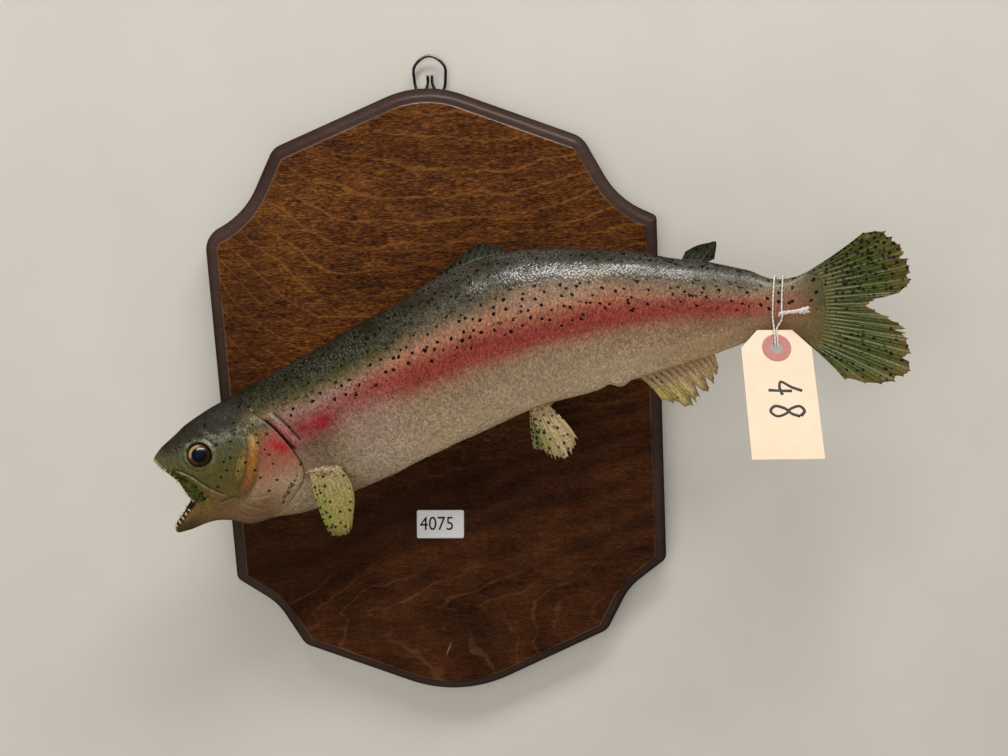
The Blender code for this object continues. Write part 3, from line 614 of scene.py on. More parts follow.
# %% Lines drawn on the head, as (length, height) points
MAXILLA = ((9.8, -4.7), (14.2, -6.7), (18.0, -9.5), (21.8, -13.8), (24.8, -16.7), (27.8, -19.4),
           (32.8, -22.7))
PREOPERCLE = ((50.0, 6.0), (50.5, 3.7), (50.5, 1.1), (49.0, -4.4), (46.5, -10.0), (43.8, -16.1),
              (40.0, -21.1), (38.5, -24.0))
CHEEK_FOLD = ((44.2, 0.4), (41.0, -4.0), (37.8, -10.3), (36.0, -15.8))
CRACK = ((64.8, -21.5), (62.6, -23.2), (61.5, -25.5), (58.6, -26.9), (57.0, -29.0), (55.2, -30.2),
         (54.0, -33.2), (52.2, -35.6))
THROAT_FOLDS = (((36.5, -27.0), (42.0, -31.5), (47.0, -36.0)),
                ((34.0, -31.5), (38.0, -35.5), (43.0, -39.0)),
                ((41.0, -25.5), (46.0, -27.0), (52.0, -27.5)))
NAPE = ((38.0, 6.5), (46.0, 9.5), (53.8, 10.7))
JAW_HINGE = ((27.0, -25.5), (31.0, -24.0), (35.5, -23.5), (38.0, -26.0))
CLEITHRUM = ((61.3, 12.0), (63.3, 8.2), (65.2, 4.0), (66.9, -1.0), (68.8, -5.9), (71.0, -9.6))
GREEN_LIP = ((8.5, -5.5), (11.0, -7.2), (14.2, -10.0), (16.8, -15.0), (19.4, -19.2), (20.6, -23.8))
HEAD_SPOTS = ((29.8, 13.9), (21.0, 8.0), (43.2, 7.3), (40.2, 4.2), (33.2, 4.0), (44.5, 12.2), (49.5, 18.6),
              (53.2, 9.2), (53.0, 4.2), (58.0, 2.8), (52.5, 0.2), (54.5, -3.9), (55.5, -7.1), (55.5, -12.2),
              (38.0, -3.4), (34.5, -4.7), (44.0, -7.4), (34.8, -9.2), (39.8, -10.9), (47.0, -12.4),
              (31.5, -11.9), (48.2, -16.8), (54.5, -20.7), (28.8, -16.4), (49.8, -24.9), (19.2, -14.4),
              (21.2, -18.0), (21.8, -21.3), (67.0, -17.6))
EYE_AT = (24.1, 0.7)
EYE_R = 5.9
NOSTRILS = ((13.4, 4.9), (15.3, 5.5))


def near_line(s, n, line):
    """Distance to a drawn line, signed by its side, and the share of the way along it."""
    best = np.full(s.shape, 1e9)
    side = np.zeros(s.shape)
    place = np.zeros(s.shape)
    line = np.array(line)
    for k, (a, b) in enumerate(zip(line[:-1], line[1:])):
        run = b - a
        t = np.clip(((s - a[0]) * run[0] + (n - a[1]) * run[1]) / (run @ run), 0, 1)
        ds, dn = s - a[0] - t * run[0], n - a[1] - t * run[1]
        distance = np.hypot(ds, dn)
        closer = distance < best
        best = np.where(closer, distance, best)
        side = np.where(closer, np.sign(run[0] * dn - run[1] * ds), side)
        place = np.where(closer, (k + t) / (len(line) - 1), place)
    return best * side, place


def ends(place, soft=0.12):
    """Fade towards both ends of a drawn line."""
    return step(place, 0.0, soft) * (1 - step(place, 1 - soft, 1.0))


def head_relief(s, n):
    """Outward offset of the head's skin, and how deep in a crease each point lies."""
    out = np.zeros(s.shape)
    crease = np.zeros(s.shape)
    d, t = near_line(s, n, MAXILLA)
    lip = step(-d, -0.3, 0.5) * (1 - step(t, 0.93, 1.0)) * step(t, 0.0, 0.06)
    out += 0.3 * lip - 0.45 * bump(d - 0.5, 0.5) * ends(t, 0.1)
    crease += 0.9 * bump(d - 0.5, 0.45) * ends(t, 0.1)
    d, t = near_line(s, n, PREOPERCLE)
    out += ends(t, 0.2) * (0.5 * bump(d, 1.9) - 0.5 * bump(d - 3.0, 0.55) - 0.3 * bump(d + 2.9, 0.5)
                           - 0.15 * bump(d + 1.6, 0.3))
    crease += ends(t, 0.2) * (0.6 * bump(d - 3.0, 0.4) + 1.1 * bump(d + 2.9, 0.4)
                              + 0.6 * bump(d + 1.6, 0.3))
    d, t = near_line(s, n, CHEEK_FOLD)
    out -= ends(t, 0.25) * (0.3 * bump(d, 0.45) - 0.2 * bump(d - 1.2, 0.8))
    crease += ends(t, 0.25) * (1.0 * bump(d, 0.4) + 0.6 * bump(d - 2.1, 0.3))
    d, t = near_line(s, n, CRACK)
    d = d + 0.9 * np.sin(n * 2.9) * np.sin(s * 1.7 + 1.0) + 0.4 * np.sin(n * 6.1 + s * 2.3)
    out += ends(t) * (0.35 * bump(d + 1.2, 0.8) - 0.8 * bump(d, 0.45) + 0.2 * bump(d - 1.3, 0.9))
    crease += ends(t) * 1.3 * bump(d, 0.42)
    for line in THROAT_FOLDS:
        d, t = near_line(s, n, line)
        out += ends(t, 0.25) * (0.25 * bump(d + 1.0, 0.9) - 0.45 * bump(d, 0.6))
        crease += ends(t, 0.25) * 0.55 * bump(d, 0.5)
    d, t = near_line(s, n, NAPE)
    out -= ends(t, 0.3) * 0.3 * bump(d, 0.8)
    crease += ends(t, 0.3) * 0.25 * bump(d, 0.7)
    d, t = near_line(s, n, JAW_HINGE)
    out -= ends(t, 0.2) * 0.5 * bump(d, 0.6)
    crease += ends(t, 0.2) * 0.7 * bump(d, 0.5)
    r = np.hypot(s - EYE_AT[0], n - EYE_AT[1])
    out += 0.45 * bump(r - 6.6, 0.8) - 0.25 * bump(r - 8.3, 0.7) + 0.2 * bump(r - 10.2, 0.9)
    out -= 3.4 * (1 - step(r, 4.9, 5.75))
    crease += 1.2 * bump(r - 5.5, 0.5) + 0.35 * bump(r - 8.3, 0.6)
    for place in NOSTRILS:
        r = np.hypot(s - place[0], (n - place[1]) * 1.2)
        out += 0.25 * bump(r - 1.1, 0.45) - 0.9 * bump(r, 0.55)
        crease += 1.3 * bump(r, 0.6)
    return out, np.clip(crease, 0, 1.4)


print("the head carries", len(HEAD_SPOTS), "spots and", len(THROAT_FOLDS), "throat folds")

# %% The rings of the skin
COLUMNS = 240
HEAD_ROWS = 118
BODY_ROWS = 158
LOBE_ROWS = 12
LOBE_LONG = 4.6                 # the flesh ends in a low lobe between the tail rays
MOUTH_ROWS = 16
COAT_DEPTH = 0.28               # the skin lies this far inside the solids, to leave room for the scales
ROW_SPREAD = 1.12               # rows lie closer together at the front of a grid
THROAT = np.array([34.0, -15.0])
GIRTH = -90.0 + np.arange(COLUMNS) * 360.0 / COLUMNS
HALF_GIRTH = fold(GIRTH)
LIP_S, EDGE_S = LIPS(HALF_GIRTH), GILL_EDGE(HALF_GIRTH)
# How free the gill cover is: 1 along its rear edge, 0 over the back and under the throat.
COVER_OPEN = step(HALF_GIRTH, -52, -30) * (1 - step(HALF_GIRTH, 30, 46))


def wobble(points, size, amount):
    """Slow unevenness of a real skin, the same every run."""
    flat = points.reshape(-1, 3)
    values = np.array([noise.noise(Vector(p) / size) for p in flat])
    return (values * amount).reshape(points.shape[:-1])


def lifted(points, out):
    """Grid of rings moved along its own normals."""
    along = np.gradient(points, axis=0)
    across = np.roll(points, -1, 1) - np.roll(points, 1, 1)
    normal = np.cross(along, across)
    normal = normal / np.maximum(np.linalg.norm(normal, axis=-1, keepdims=True), 1e-9)
    centre = points.mean(axis=1, keepdims=True)
    outward = np.sign(((points - centre) * normal).sum(-1).mean())
    return points + normal * outward * np.asarray(out)[..., None]


def head_grid():
    """Head rings from the lips to the gill covers' edge: points, length, height and creases."""
    share = (np.linspace(0, 1, HEAD_ROWS) ** ROW_SPREAD)[:, None]
    s = LIP_S + (EDGE_S - LIP_S) * share
    angle = np.broadcast_to(GIRTH, s.shape)
    flare = GILL_FLARE * np.clip(1 - (HALF_GIRTH / 36.0) ** 2, 0, 1) * np.clip((s - 44) / 14, 0, 1)
    height, side = section(s, angle, flare)
    points = against_board(body_point(s, height, side))
    out, crease = head_relief(s, height)
    flank = step(np.abs(side), 2.0, 6.0)
    rim = step(EDGE_S - s, 0.0, 1.6)
    out = out * flank * step(s - LIP_S, 0.2, 2.0) * rim - 0.35
    even = step(EDGE_S - s, 0.0, 8.0)
    out = out + (wobble(points, 9.0, 0.35) * step(s - LIP_S, 0.5, 6.0) + wobble(points, 2.6, 0.12)) * even
    out = out - 0.25 * (1 - step(s - LIP_S, 0.0, 1.1)) - 0.35 * (1 - rim) * COVER_OPEN
    return lifted(points, out), s, height, crease * flank


def stem_section(s, angle):
    """Section of the trunk, thinned to the tail rays and closed round the end of the flesh."""
    height, side = section(np.minimum(s, BODY_END), angle)
    close = np.sqrt(np.clip(1 - ((s - BODY_END) / LOBE_LONG) ** 2, 0.0, 1))
    close = np.where(s > BODY_END, close, 1.0)
    thin = 1 - 0.5 * step(s, 331, BODY_END)
    return -1.0 + (height + 1.0) * close, side * thin * close ** 0.5


def body_grid():
    """Trunk rings from under the gill covers to the tail rays, as head_grid."""
    start = EDGE_S + 0.16 - 5.0 * COVER_OPEN
    share = (np.linspace(0, 1, BODY_ROWS - LOBE_ROWS) ** ROW_SPREAD)[:, None]
    lobe = BODY_END + LOBE_LONG * np.sin(np.linspace(0, 1.53, LOBE_ROWS + 1)[1:, None])
    s = np.concatenate([start + (BODY_END - start) * share, np.repeat(lobe, COLUMNS, axis=1)])
    angle = np.broadcast_to(GIRTH, s.shape)
    height, side = stem_section(s, angle)
    points = against_board(body_point(s, height, side))
    d, t = near_line(s, height, CLEITHRUM)
    flank = step(np.abs(side), 3.0, 8.0)
    ridge = ends(t, 0.18) * flank
    under = COVER_OPEN * (1 - step(s - EDGE_S, -2.0, 1.6))
    out = ridge * (2.0 * bump(d, 1.5) - 0.8 * bump(d, 4.2) - 0.9 * bump(d + 3.0, 0.9)) - 2.1 * under
    vent = 1.3 * bump(s - 242, 4.0) - 1.7 * bump(s - 235, 3.4) - 0.5 * bump(s - 249, 2.0)
    out = out + vent * bump(HALF_GIRTH + 90, 26) - COAT_DEPTH
    lateral = bump(height - lateral_line(s), 0.55) * flank * step(s, 70, 80)
    out = out - 0.12 * lateral
    out = out + wobble(points, 14.0, 0.45) * step(s, 66, 90) * (1 - step(s, 320, 340)) - 0.15
    crease = ridge * (1.4 * bump(d + 2.7, 0.9) + 1.3 * bump(d - 2.7, 0.8)) + 1.3 * under + 0.25 * lateral
    out = out * (1 - 0.8 * step(s, BODY_END - 2, BODY_END + 1))
    return lifted(points, out), s, height, np.clip(crease, 0, 1.4)


def lateral_line(s):
    """Height of the lateral line above the backbone."""
    return 1.5 + 3.0 * bump(s - 66, 30.0)


head_points, head_s, head_n, head_crease = head_grid()
body_points, body_s, body_n, body_crease = body_grid()
print("head rings", head_points.shape[:2], "body rings", body_points.shape[:2])


# %% Mouth, gill slit and the whole skin
def mouth_grid():
    """Rings from deep in the throat out to just inside the lips."""
    height, side = section(LIP_S, GIRTH)
    rise = height - THROAT[1]
    rings = []
    for share in np.linspace(0.93, 0.0, MOUTH_ROWS) ** 1.25:
        shrink = 0.9 * (1 - share ** 2)
        s = LIP_S + 0.5 + (THROAT[0] - LIP_S) * share
        ripple = 1 + 0.02 * np.sin(share * 60) * step(share, 0.05, 0.2)
        rings.append(body_point(s, THROAT[1] + rise * shrink * ripple, side * shrink * ripple))
    rings.append(body_point(LIP_S + 0.1, THROAT[1] + rise * 0.945, side * 0.93))
    return np.array(rings)


def slit_grid():
    """Rings that carry the skin round the gill covers' edge and in underneath."""
    rings = []
    for back, depth in ((0.15, 0.9), (1.6, 1.5), (3.6, 1.8), (4.9, 1.9)):
        s = EDGE_S + 0.03 * back - back * COVER_OPEN
        height, side = section(s, GIRTH)
        middle = WIDEST(s)
        inset = 1 - COVER_OPEN * depth / np.maximum(np.hypot(height - middle, side), 1.0) - 0.012
        rings.append(against_board(body_point(s, middle + (height - middle) * inset, side * inset)))
    return np.array(rings)


mouth_points, slit_points = mouth_grid(), slit_grid()
grids = (mouth_points, head_points, slit_points, body_points)
skin_points = np.concatenate(grids)
ROWS = len(skin_points)


def unwrap(points):
    """Lengths along each meridian and girth distances from the back line, in millimetres."""
    along = np.linalg.norm(np.diff(points, axis=0), axis=2)
    along = np.concatenate([np.zeros((1, COLUMNS)), np.cumsum(along, axis=0)])
    lips = len(mouth_points)
    along = along - along[lips] + LIP_S
    closed = np.concatenate([points, points[:, :1]], axis=1)
    across = np.linalg.norm(np.diff(closed, axis=1), axis=2)
    across = np.concatenate([np.zeros((ROWS, 1)), np.cumsum(across, axis=1)], axis=1)
    back = COLUMNS // 2
    return along, across - across[:, back:back + 1]


along, across = unwrap(skin_points)
UNWRAP = 470.0                  # millimetres to one unit of the unwrap
UNWRAP_FROM = 55.0
unwrap_u = (along + UNWRAP_FROM) / UNWRAP
unwrap_v = 0.5 + across / UNWRAP
print("unwrap spans", unwrap_u.min().round(3), unwrap_u.max().round(3), unwrap_v.min().round(3),
      unwrap_v.max().round(3))

# %% [markdown]
# ## Where the colours go
# The painter worked by the fish's own landmarks, so the finish does too. Each point of the skin keeps its
# length, girth distance and height, and a few soft masks: the orange crescent, the coral gill cover, the
# green lip, the cream throat, and the creases and the inside of the mouth, where shade is painted. Skin
# and scales share them.

# %% Places and masks on the skin
def whole(mouth, head, slit, body):
    """One grid of values from the four, a number standing for a constant."""
    parts = [np.broadcast_to(value, grid.shape[:2]) for value, grid in zip((mouth, head, slit, body), grids)]
    return np.concatenate(parts)


over_nape = (1 - COVER_OPEN) * (HALF_GIRTH > 0)
skin_s = whole(LIP_S, head_s, EDGE_S, body_s)
skin_n = whole(section(LIP_S, GIRTH)[0], head_n, section(EDGE_S, GIRTH)[0], body_n)
girth = across[:, :COLUMNS]
crescent_d, crescent_t = near_line(skin_s, skin_n, PREOPERCLE)
maxilla_d, maxilla_t = near_line(skin_s, skin_n, MAXILLA)
cleithrum_d, cleithrum_t = near_line(skin_s, skin_n, CLEITHRUM)
fold_d, fold_t = near_line(skin_s, skin_n, CHEEK_FOLD)
lip_d, lip_t = near_line(skin_s, skin_n, GREEN_LIP)
on_head = whole(1.0, 1.0, COVER_OPEN, 0.0)


def dab(s, n, long, high, tilt=0.0):
    """Soft painted spot of two half sizes, tilted by degrees."""
    turn = math.radians(tilt)
    ds, dn = skin_s - s, skin_n - n
    a, b = ds * math.cos(turn) + dn * math.sin(turn), dn * math.cos(turn) - ds * math.sin(turn)
    return np.exp(-(a / long) ** 2 - (b / high) ** 2)


orange = bump(crescent_d + 0.2, 1.3 + 1.5 * ends(crescent_t, 0.5)) * ends(crescent_t, 0.2) * on_head
coral = step(crescent_d, 1.5, 4.5) * step(skin_n, -32, -20) * (1 - step(skin_n, 2, 8)) * on_head
blotch = (dab(62.6, -6.0, 4.6, 2.7, -52) + 0.5 * dab(57.5, -3.0, 5.0, 4.0)) * on_head
blotch += (0.95 * dab(85.2, -2.2, 5.0, 3.6, 18) + 0.4 * dab(76.0, -3.0, 7.0, 5.0)) * (1 - on_head)
green = bump(lip_d, 2.4) * ends(lip_t, 0.1)
cream = 1 - step(skin_n + 0.32 * np.clip(54 - skin_s, 0, 40), -27, -17)
pale = bump(maxilla_d, 0.35) * ends(maxilla_t, 0.3)
tan = bump(fold_d - 2.6, 2.6) * ends(fold_t, 0.2) * step(-crescent_d, 0.5, 3.0)
tan = (tan + dab(54.0, 3.6, 4.0, 2.6, -20)) * on_head
ochre = dab(23.6, -20.8, 2.2, 3.0, -40)
eye_r = np.hypot(skin_s - EYE_AT[0], skin_n - EYE_AT[1])
# silvery paint and painted glints: speckled patches over the cheek, nape and gill cover, and a lid ring round
# the eye, brighter above it
silver = 0.5 * dab(39.0, 7.5, 7.0, 2.6, 12) + 0.55 * dab(47.0, 6.0, 3.0, 4.0)
silver = silver + 0.5 * dab(31.0, 8.5, 4.0, 2.0, -30)
silver = (silver + bump(eye_r - 7.0, 0.9) * (0.35 + 0.5 * step(skin_n - EYE_AT[1], 0, 5))) * on_head
silver = silver + (dab(60.5, -22.0, 3.0, 6.0, 60) + 0.9 * dab(54.0, 10.0, 5.0, 3.0)) * 0.8 * on_head
spot_d = np.min([np.hypot(skin_s - a, skin_n - b) for a, b in HEAD_SPOTS], axis=0)
ridge_pink = bump(cleithrum_d, 2.0) * ends(cleithrum_t, 0.12) * (1 - on_head)
# the mouth's inside and the gill slit, which the finish paints dark brown as painted shade of these hollows
inside = whole(1.0, (1 - step(head_s - LIP_S, 0.0, 0.9)) * 0.6, COVER_OPEN, 0.0)
inside[len(mouth_points) - 2:len(mouth_points)] *= 0.75
# how deep in a crease, an eye rim, a nostril or under a gill cover each point lies; the finish paints shade
# there
crease = whole(0.0, head_crease, COVER_OPEN, body_crease)
BARE_AT_BOARD = 1.0             # skin as near as this to the board's face carries no scales
body_scaled = np.maximum(step(body_s - EDGE_S, 2.0, 5.0), over_nape)
body_scaled = body_scaled * (1 - ridge_pink[-BODY_ROWS:] * 1.6) * (1 - step(body_s, 308, 318))
scaled = whole(0.0, step(head_s, 42, 54) * step(head_n, 15, 21), over_nape, body_scaled)
scaled = scaled * (skin_points[..., 1] < -BOARD_THICK - BARE_AT_BOARD)
print("share of the skin that carries scales", round(float((scaled > 0.5).mean()), 2))

# %% The body's colours by height
BELLY_TO_BACK = 92.0            # millimetres that a ramp spans, from the belly to the back
SPOTS_PER_MM = 0.19             # cells of the spots' pattern to each millimetre


def by_height(band, *chips):
    """Ramp over the height above the backbone, from chips (millimetres, red, green, blue)."""
    stops = [((height + BELLY_TO_BACK / 2) / BELLY_TO_BACK, *rgb) for height, *rgb in chips]
    return ((band + BELLY_TO_BACK / 2) / BELLY_TO_BACK).ramp(*stops)


def lie_of(start):
    """What skin and scales share: each point's place on the fish, the painter's masks, and noises."""
    lie = SimpleNamespace(place=place_of(start), ochre=start.attribute("ochre"))
    lie.s, lie.g, lie.band = start.attribute("pelt", "Vector").parts()
    lie.orange, lie.coral, lie.blotch = start.attribute("marks", "Vector").parts()
    lie.green, lie.cream, lie.pale = start.attribute("tones", "Vector").parts()
    lie.crease, lie.inside, lie.pink = start.attribute("form", "Vector").parts()
    lie.tan, lie.silver, lie.spot = start.attribute("cheek", "Vector").parts()
    lie.on_head = 1 - start.attribute("behind_gill").step(0.2, 0.8)
    lie.pelt = start.vector(lie.s, lie.g, 0.0)
    lie.cloud = lie.place.noise(55, 3)
    lie.mottle = lie.place.noise(420, 3, 0.6)
    lie.grain = lie.place.noise(1500, 3, 0.65)
    lie.streak = lie.pelt.stretch(1.0, 0.28, 1.0).noise(1.3, 3, 0.6)
    lie.wavy = lie.band + (lie.cloud - 0.5) * 6 + (lie.mottle - 0.5) * 5 + (lie.streak - 0.5) * 6
    return lie


def flank_paint(lie):
    """Bands of colour that change on their way from the gills to the tail."""
    s, band, wavy, streak = lie.s, lie.band, lie.wavy, lie.streak
    front = by_height(wavy, (-46, 146, 126, 96), (-26, 154, 134, 108), (-14, 146, 122, 98),
                      (-8, 138, 98, 84), (-2, 136, 66, 62), (4, 144, 90, 82), (10, 142, 112, 98),
                      (15, 106, 88, 56), (20, 58, 56, 22), (26, 42, 41, 16), (32, 40, 40, 24),
                      (42, 56, 54, 46))
    # In the middle and rear ramps the chips at -46 are the belly's cream made paler still, as painted light
    # on the underside.
    middle = by_height(wavy, (-46, 206, 182, 150), (-30, 174, 152, 124), (-13, 156, 130, 104),
                       (-8, 152, 106, 82), (-4, 144, 64, 52), (2, 142, 58, 50), (7, 154, 88, 66),
                       (11, 162, 112, 86), (16, 146, 112, 88), (20, 104, 88, 66), (25, 70, 64, 44),
                       (31, 60, 56, 40), (40, 74, 72, 66))
    rear = by_height(wavy, (-46, 200, 172, 134), (-24, 164, 138, 106), (-11, 148, 114, 86),
                     (-6, 146, 86, 66), (-1, 144, 58, 50), (4, 142, 72, 58), (8, 144, 100, 76),
                     (12, 134, 112, 88), (17, 104, 94, 76), (24, 78, 76, 66), (40, 70, 70, 65))
    skin = front.mix((s - band.step(8, 16) * 38).step(84, 125), middle).mix(s.step(235, 290), rear)
    warm_side = s.step(185, 205) * s.step(250, 225) * wavy.step(8, 14) * wavy.step(26, 19)
    stem = by_height(wavy, (-30, 108, 88, 60), (-16, 122, 98, 70), (-4, 140, 92, 72), (8, 132, 92, 76),
                     (18, 116, 104, 78), (30, 86, 86, 66), (42, 70, 72, 58))
    green_end = band.ramp((0.0, 98, 88, 52), (1.0, 78, 80, 50))
    return skin.coats(
        (warm_side * 0.5, (168, 136, 112)),
        (s.step(88, 100) * s.step(135, 112) * band.step(4, -6) * 0.35, (172, 150, 138)),
        # painted shade on the flank behind the gill cover, above the pectoral fin
        (s.step(92, 80) * band.step(-2, -9) * band.step(-31, -20) * 0.4, (74, 54, 38)),
        (s.step(306, 330), stem),
        ((s + (streak - 0.5) * 14).step(332, 347), green_end))


print("a ramp by height spans", BELLY_TO_BACK, "mm")


# %% The head's colours
def head_paint(skin, lie):
    """Over the flank's paint: bands, jaw, throat, cheek, gill cover, crescent, lips, and silvery paint with
    painted glints.
    """
    s, band, wavy, on_head = lie.s, lie.band, lie.wavy, lie.on_head
    cloud, mottle, grain, streak = lie.cloud, lie.mottle, lie.grain, lie.streak
    head = by_height(wavy, (-46, 124, 106, 82), (-32, 112, 90, 62), (-24, 98, 78, 46),
                     (-16, 82, 74, 30), (-9, 80, 76, 34), (-1, 78, 76, 46), (5, 74, 76, 52),
                     (10, 60, 58, 44), (18, 47, 43, 36), (34, 50, 47, 40))
    jaw = s.step(34, 24) * band.step(-22, -28)
    throat = s.step(46, 58).ramp((0.0, 124, 94, 64), (1.0, 156, 130, 104))
    cheek = (streak + mottle - 0.5).ramp((0.35, 92, 78, 30), (0.65, 140, 112, 58))
    coral_chip = by_height(band, (-26, 168, 140, 112), (-18, 156, 112, 88), (-10, 148, 88, 70))
    crescent = by_height(band, (-24, 104, 62, 28), (-15, 138, 84, 38), (-7, 150, 94, 46),
                         (0, 168, 122, 70), (4, 172, 138, 90))
    moss = (mottle + grain - 0.5).ramp((0.3, 26, 30, 10), (0.5, 46, 56, 20), (0.75, 84, 88, 32))
    ochre_chip = mottle.ramp((0.4, 72, 60, 16), (0.65, 134, 106, 44))
    rolled = streak + band.step(4, 10) * 0.5
    roll = rolled.ramp((0.3, 138, 62, 66), (0.65, 150, 98, 90), (1.0, 118, 96, 78))
    return skin.coats(
        (on_head * (1 - s.step(42, 58) * band.step(8, 16)), head),
        (jaw * 0.8, mottle.ramp((0.35, 96, 72, 34), (0.65, 124, 100, 56))),
        (s.step(9, 2) * 0.8, (98, 84, 70)),
        (lie.cream * on_head * 0.85, throat),
        (jaw * s.step(22, 12) * band.step(-30, -36) * 0.8, (62, 56, 26)),
        (lie.tan * 0.85, cheek),
        (lie.coral * (1 - lie.tan) * 0.9, coral_chip),
        (lie.orange * (streak * 0.5 + 0.72), crescent),
        (lie.green.step(0.15, 0.6), moss),
        (lie.ochre * 0.9, ochre_chip),
        (lie.blotch * 0.9, (150, 22, 36)),
        (lie.pink, roll),
        (lie.pale * mottle.step(0.35, 0.6) * 0.7, (138, 124, 68)),
        # silvery paint with painted glints, speckled
        (lie.silver * (grain + cloud + mottle - 1.0).step(0.38, 0.7) * 0.8, (158, 154, 130)))


print("a chip of the cheek is", [round(v, 3) for v in tint(92, 78, 30)])


# %% Fine marks over the paint
def fine_marks(skin, lie):
    """Specks, painted glints, the pebbled belly, grain, black spots, and painted shade in the creases and
    inside the mouth.
    """
    band, cloud, mottle, grain, streak = lie.band, lie.cloud, lie.mottle, lie.grain, lie.streak
    specks = (1 - lie.pelt.cells(1.15).step(0.22, 0.46)) * band.step(14, 26) * mottle.step(0.42, 0.6)
    glints = (1 - lie.pelt.cells(0.9).step(0.1, 0.26)) * band.step(17, 26) * cloud.step(0.42, 0.6)
    pebbles = (1 - lie.pelt.cells(1.4).step(0.1, 0.4)) * band.step(-8, -14)
    calm = 1.1 - band.step(-4, -12) * 0.35
    near = lie.spot + (grain - 0.5) * 0.35
    return skin.coats(
        (specks * 0.85, (20, 22, 16)),
        (glints * 0.5, (150, 152, 144)),
        (pebbles * 0.18, (98, 86, 66)),
        (1.0, ((grain - 0.5) * 1.1 + (streak - 0.5) * 0.9) * calm + 0.52, "OVERLAY"),
        (spots(lie), (22, 15, 13)),
        ((1 - near.step(0.62, 0.86)) * 0.95, (20, 14, 10)),
        # painted shade in the creases, round the eyes and nostrils, beside the roll behind the gills and
        # under the gill covers
        (lie.crease.step(0.15, 1.1) * 0.85, (34, 24, 18)),
        # painted shade inside the mouth and in the gill slit, dark brown
        (lie.inside, lie.place.noise(300, 3).ramp((0.3, 36, 22, 17), (0.7, 84, 52, 38))))


def spots(lie):
    """Round black spots, dense above the stripe and on the tail stem, none on the belly."""
    s, band = lie.s, lie.band
    distance = lie.pelt.cells(SPOTS_PER_MM)
    lottery, kind, _ = lie.pelt.cells(SPOTS_PER_MM, "Color").parts()
    size = kind * 0.06 + 0.135
    allowed = band.step(-1, 6) * 0.9 + s.step(262, 300) * band.step(-6, 0) * 0.4
    chosen = (allowed * (1 - lie.on_head) * s.step(65, 67) - lottery).step(0.0, 0.02)
    return (1 - (distance / size).step(0.85, 1.08)) * chosen


def trout_colours(start):
    """Colour of skin and scales, and the values that gloss and relief need."""
    lie = lie_of(start)
    return fine_marks(head_paint(flank_paint(lie), lie), lie), lie


def trout_skin(start):
    skin, lie = trout_colours(start)
    wrinkle = lie.place.stretch(1, 1, 1.6).noise(900, 3, 0.6, 0.4)
    relief = wrinkle * 0.5 + lie.mottle * 0.5 + lie.grain * 0.25 - lie.crease * 0.3
    rough = lie.cloud * 0.22 + lie.crease * 0.25 + 0.25
    return {"Base Color": skin, "Roughness": rough, "Normal": bumped(start, relief, 0.0005, 0.85)}


SKIN = finish_of("trout_skin", trout_skin, Specular_IOR_Level=0.35, Coat_Weight=0.2, Coat_Roughness=0.16)
print("trout skin has", len(SKIN.node_tree.nodes), "nodes")


# %% The skin as one piece
def grid_uv(obj, u, v):
    """The OFBake map: each corner of the ring grid takes its place on the unwrap."""
    layer = obj.data.uv_layers.new(name="OFBake")
    corner = np.empty(len(obj.data.loops), dtype=np.int32)
    obj.data.loops.foreach_get("vertex_index", corner)
    row, column = corner // COLUMNS, corner % COLUMNS
    row = np.where(corner == ROWS * COLUMNS, 0, np.minimum(row, ROWS - 1))
    quad = column[:4 * (ROWS - 1) * COLUMNS].reshape(-1, 4)
    wraps = quad.max(axis=1) - quad.min(axis=1) > 1
    quad[wraps[:, None] & (quad == 0)] = COLUMNS
    u = np.concatenate([u, u[:, :1]], axis=1)
    flat = np.stack([u[row, column], v[row, column]], axis=-1)
    layer.data.foreach_set("uv", flat.astype(np.float32).ravel())


def make_skin():
    obj = tube("trout_skin", skin_points, [SKIN])
    grid_uv(obj, unwrap_u, unwrap_v)

    upper = np.where(skin_n > 0, (36.0 / BACK(skin_s)) ** 0.6, (42.0 / BELLY(skin_s)) ** 0.6)
    layers = {"pelt": (skin_s, girth, skin_n * upper), "marks": (orange, coral, np.clip(blotch, 0, 1)),
              "tones": (green, cream, pale), "cheek": (tan, np.clip(silver, 0, 1), np.minimum(spot_d, 3)),
              "ochre": (ochre,), "form": (crease, np.clip(inside, 0, 1), np.clip(ridge_pink, 0, 1)),
              "behind_gill": (1 - on_head,), "scaled": (scaled,)}
    for name, parts in layers.items():
        flat = np.stack(parts, -1).reshape(ROWS * COLUMNS, -1)
        note(obj, name, np.concatenate([flat, flat[:1], flat[-1:]]).squeeze())
    return obj


trout = make_skin()
ride(trout, "fish_skin", "head", "lower_jaw", "gill_cover_left", "gill_cover_right", "trunk_front",
     "trunk_middle", "trunk_rear", "tail_stem")

# %% [markdown]
# ## The scales
# A trout's scales are tiny plates that overlap towards the tail like roof tiles. Thousands of equal plates
# along a surface are a task for Geometry Nodes: a staggered grid is laid out on the skin's own unwrap,
# each of its points finds its place, its normal and the direction of the tail on the skin, and a plate of
# twelve triangles is set there. Each plate keeps its root's place on the unwrap, so it takes the paint.

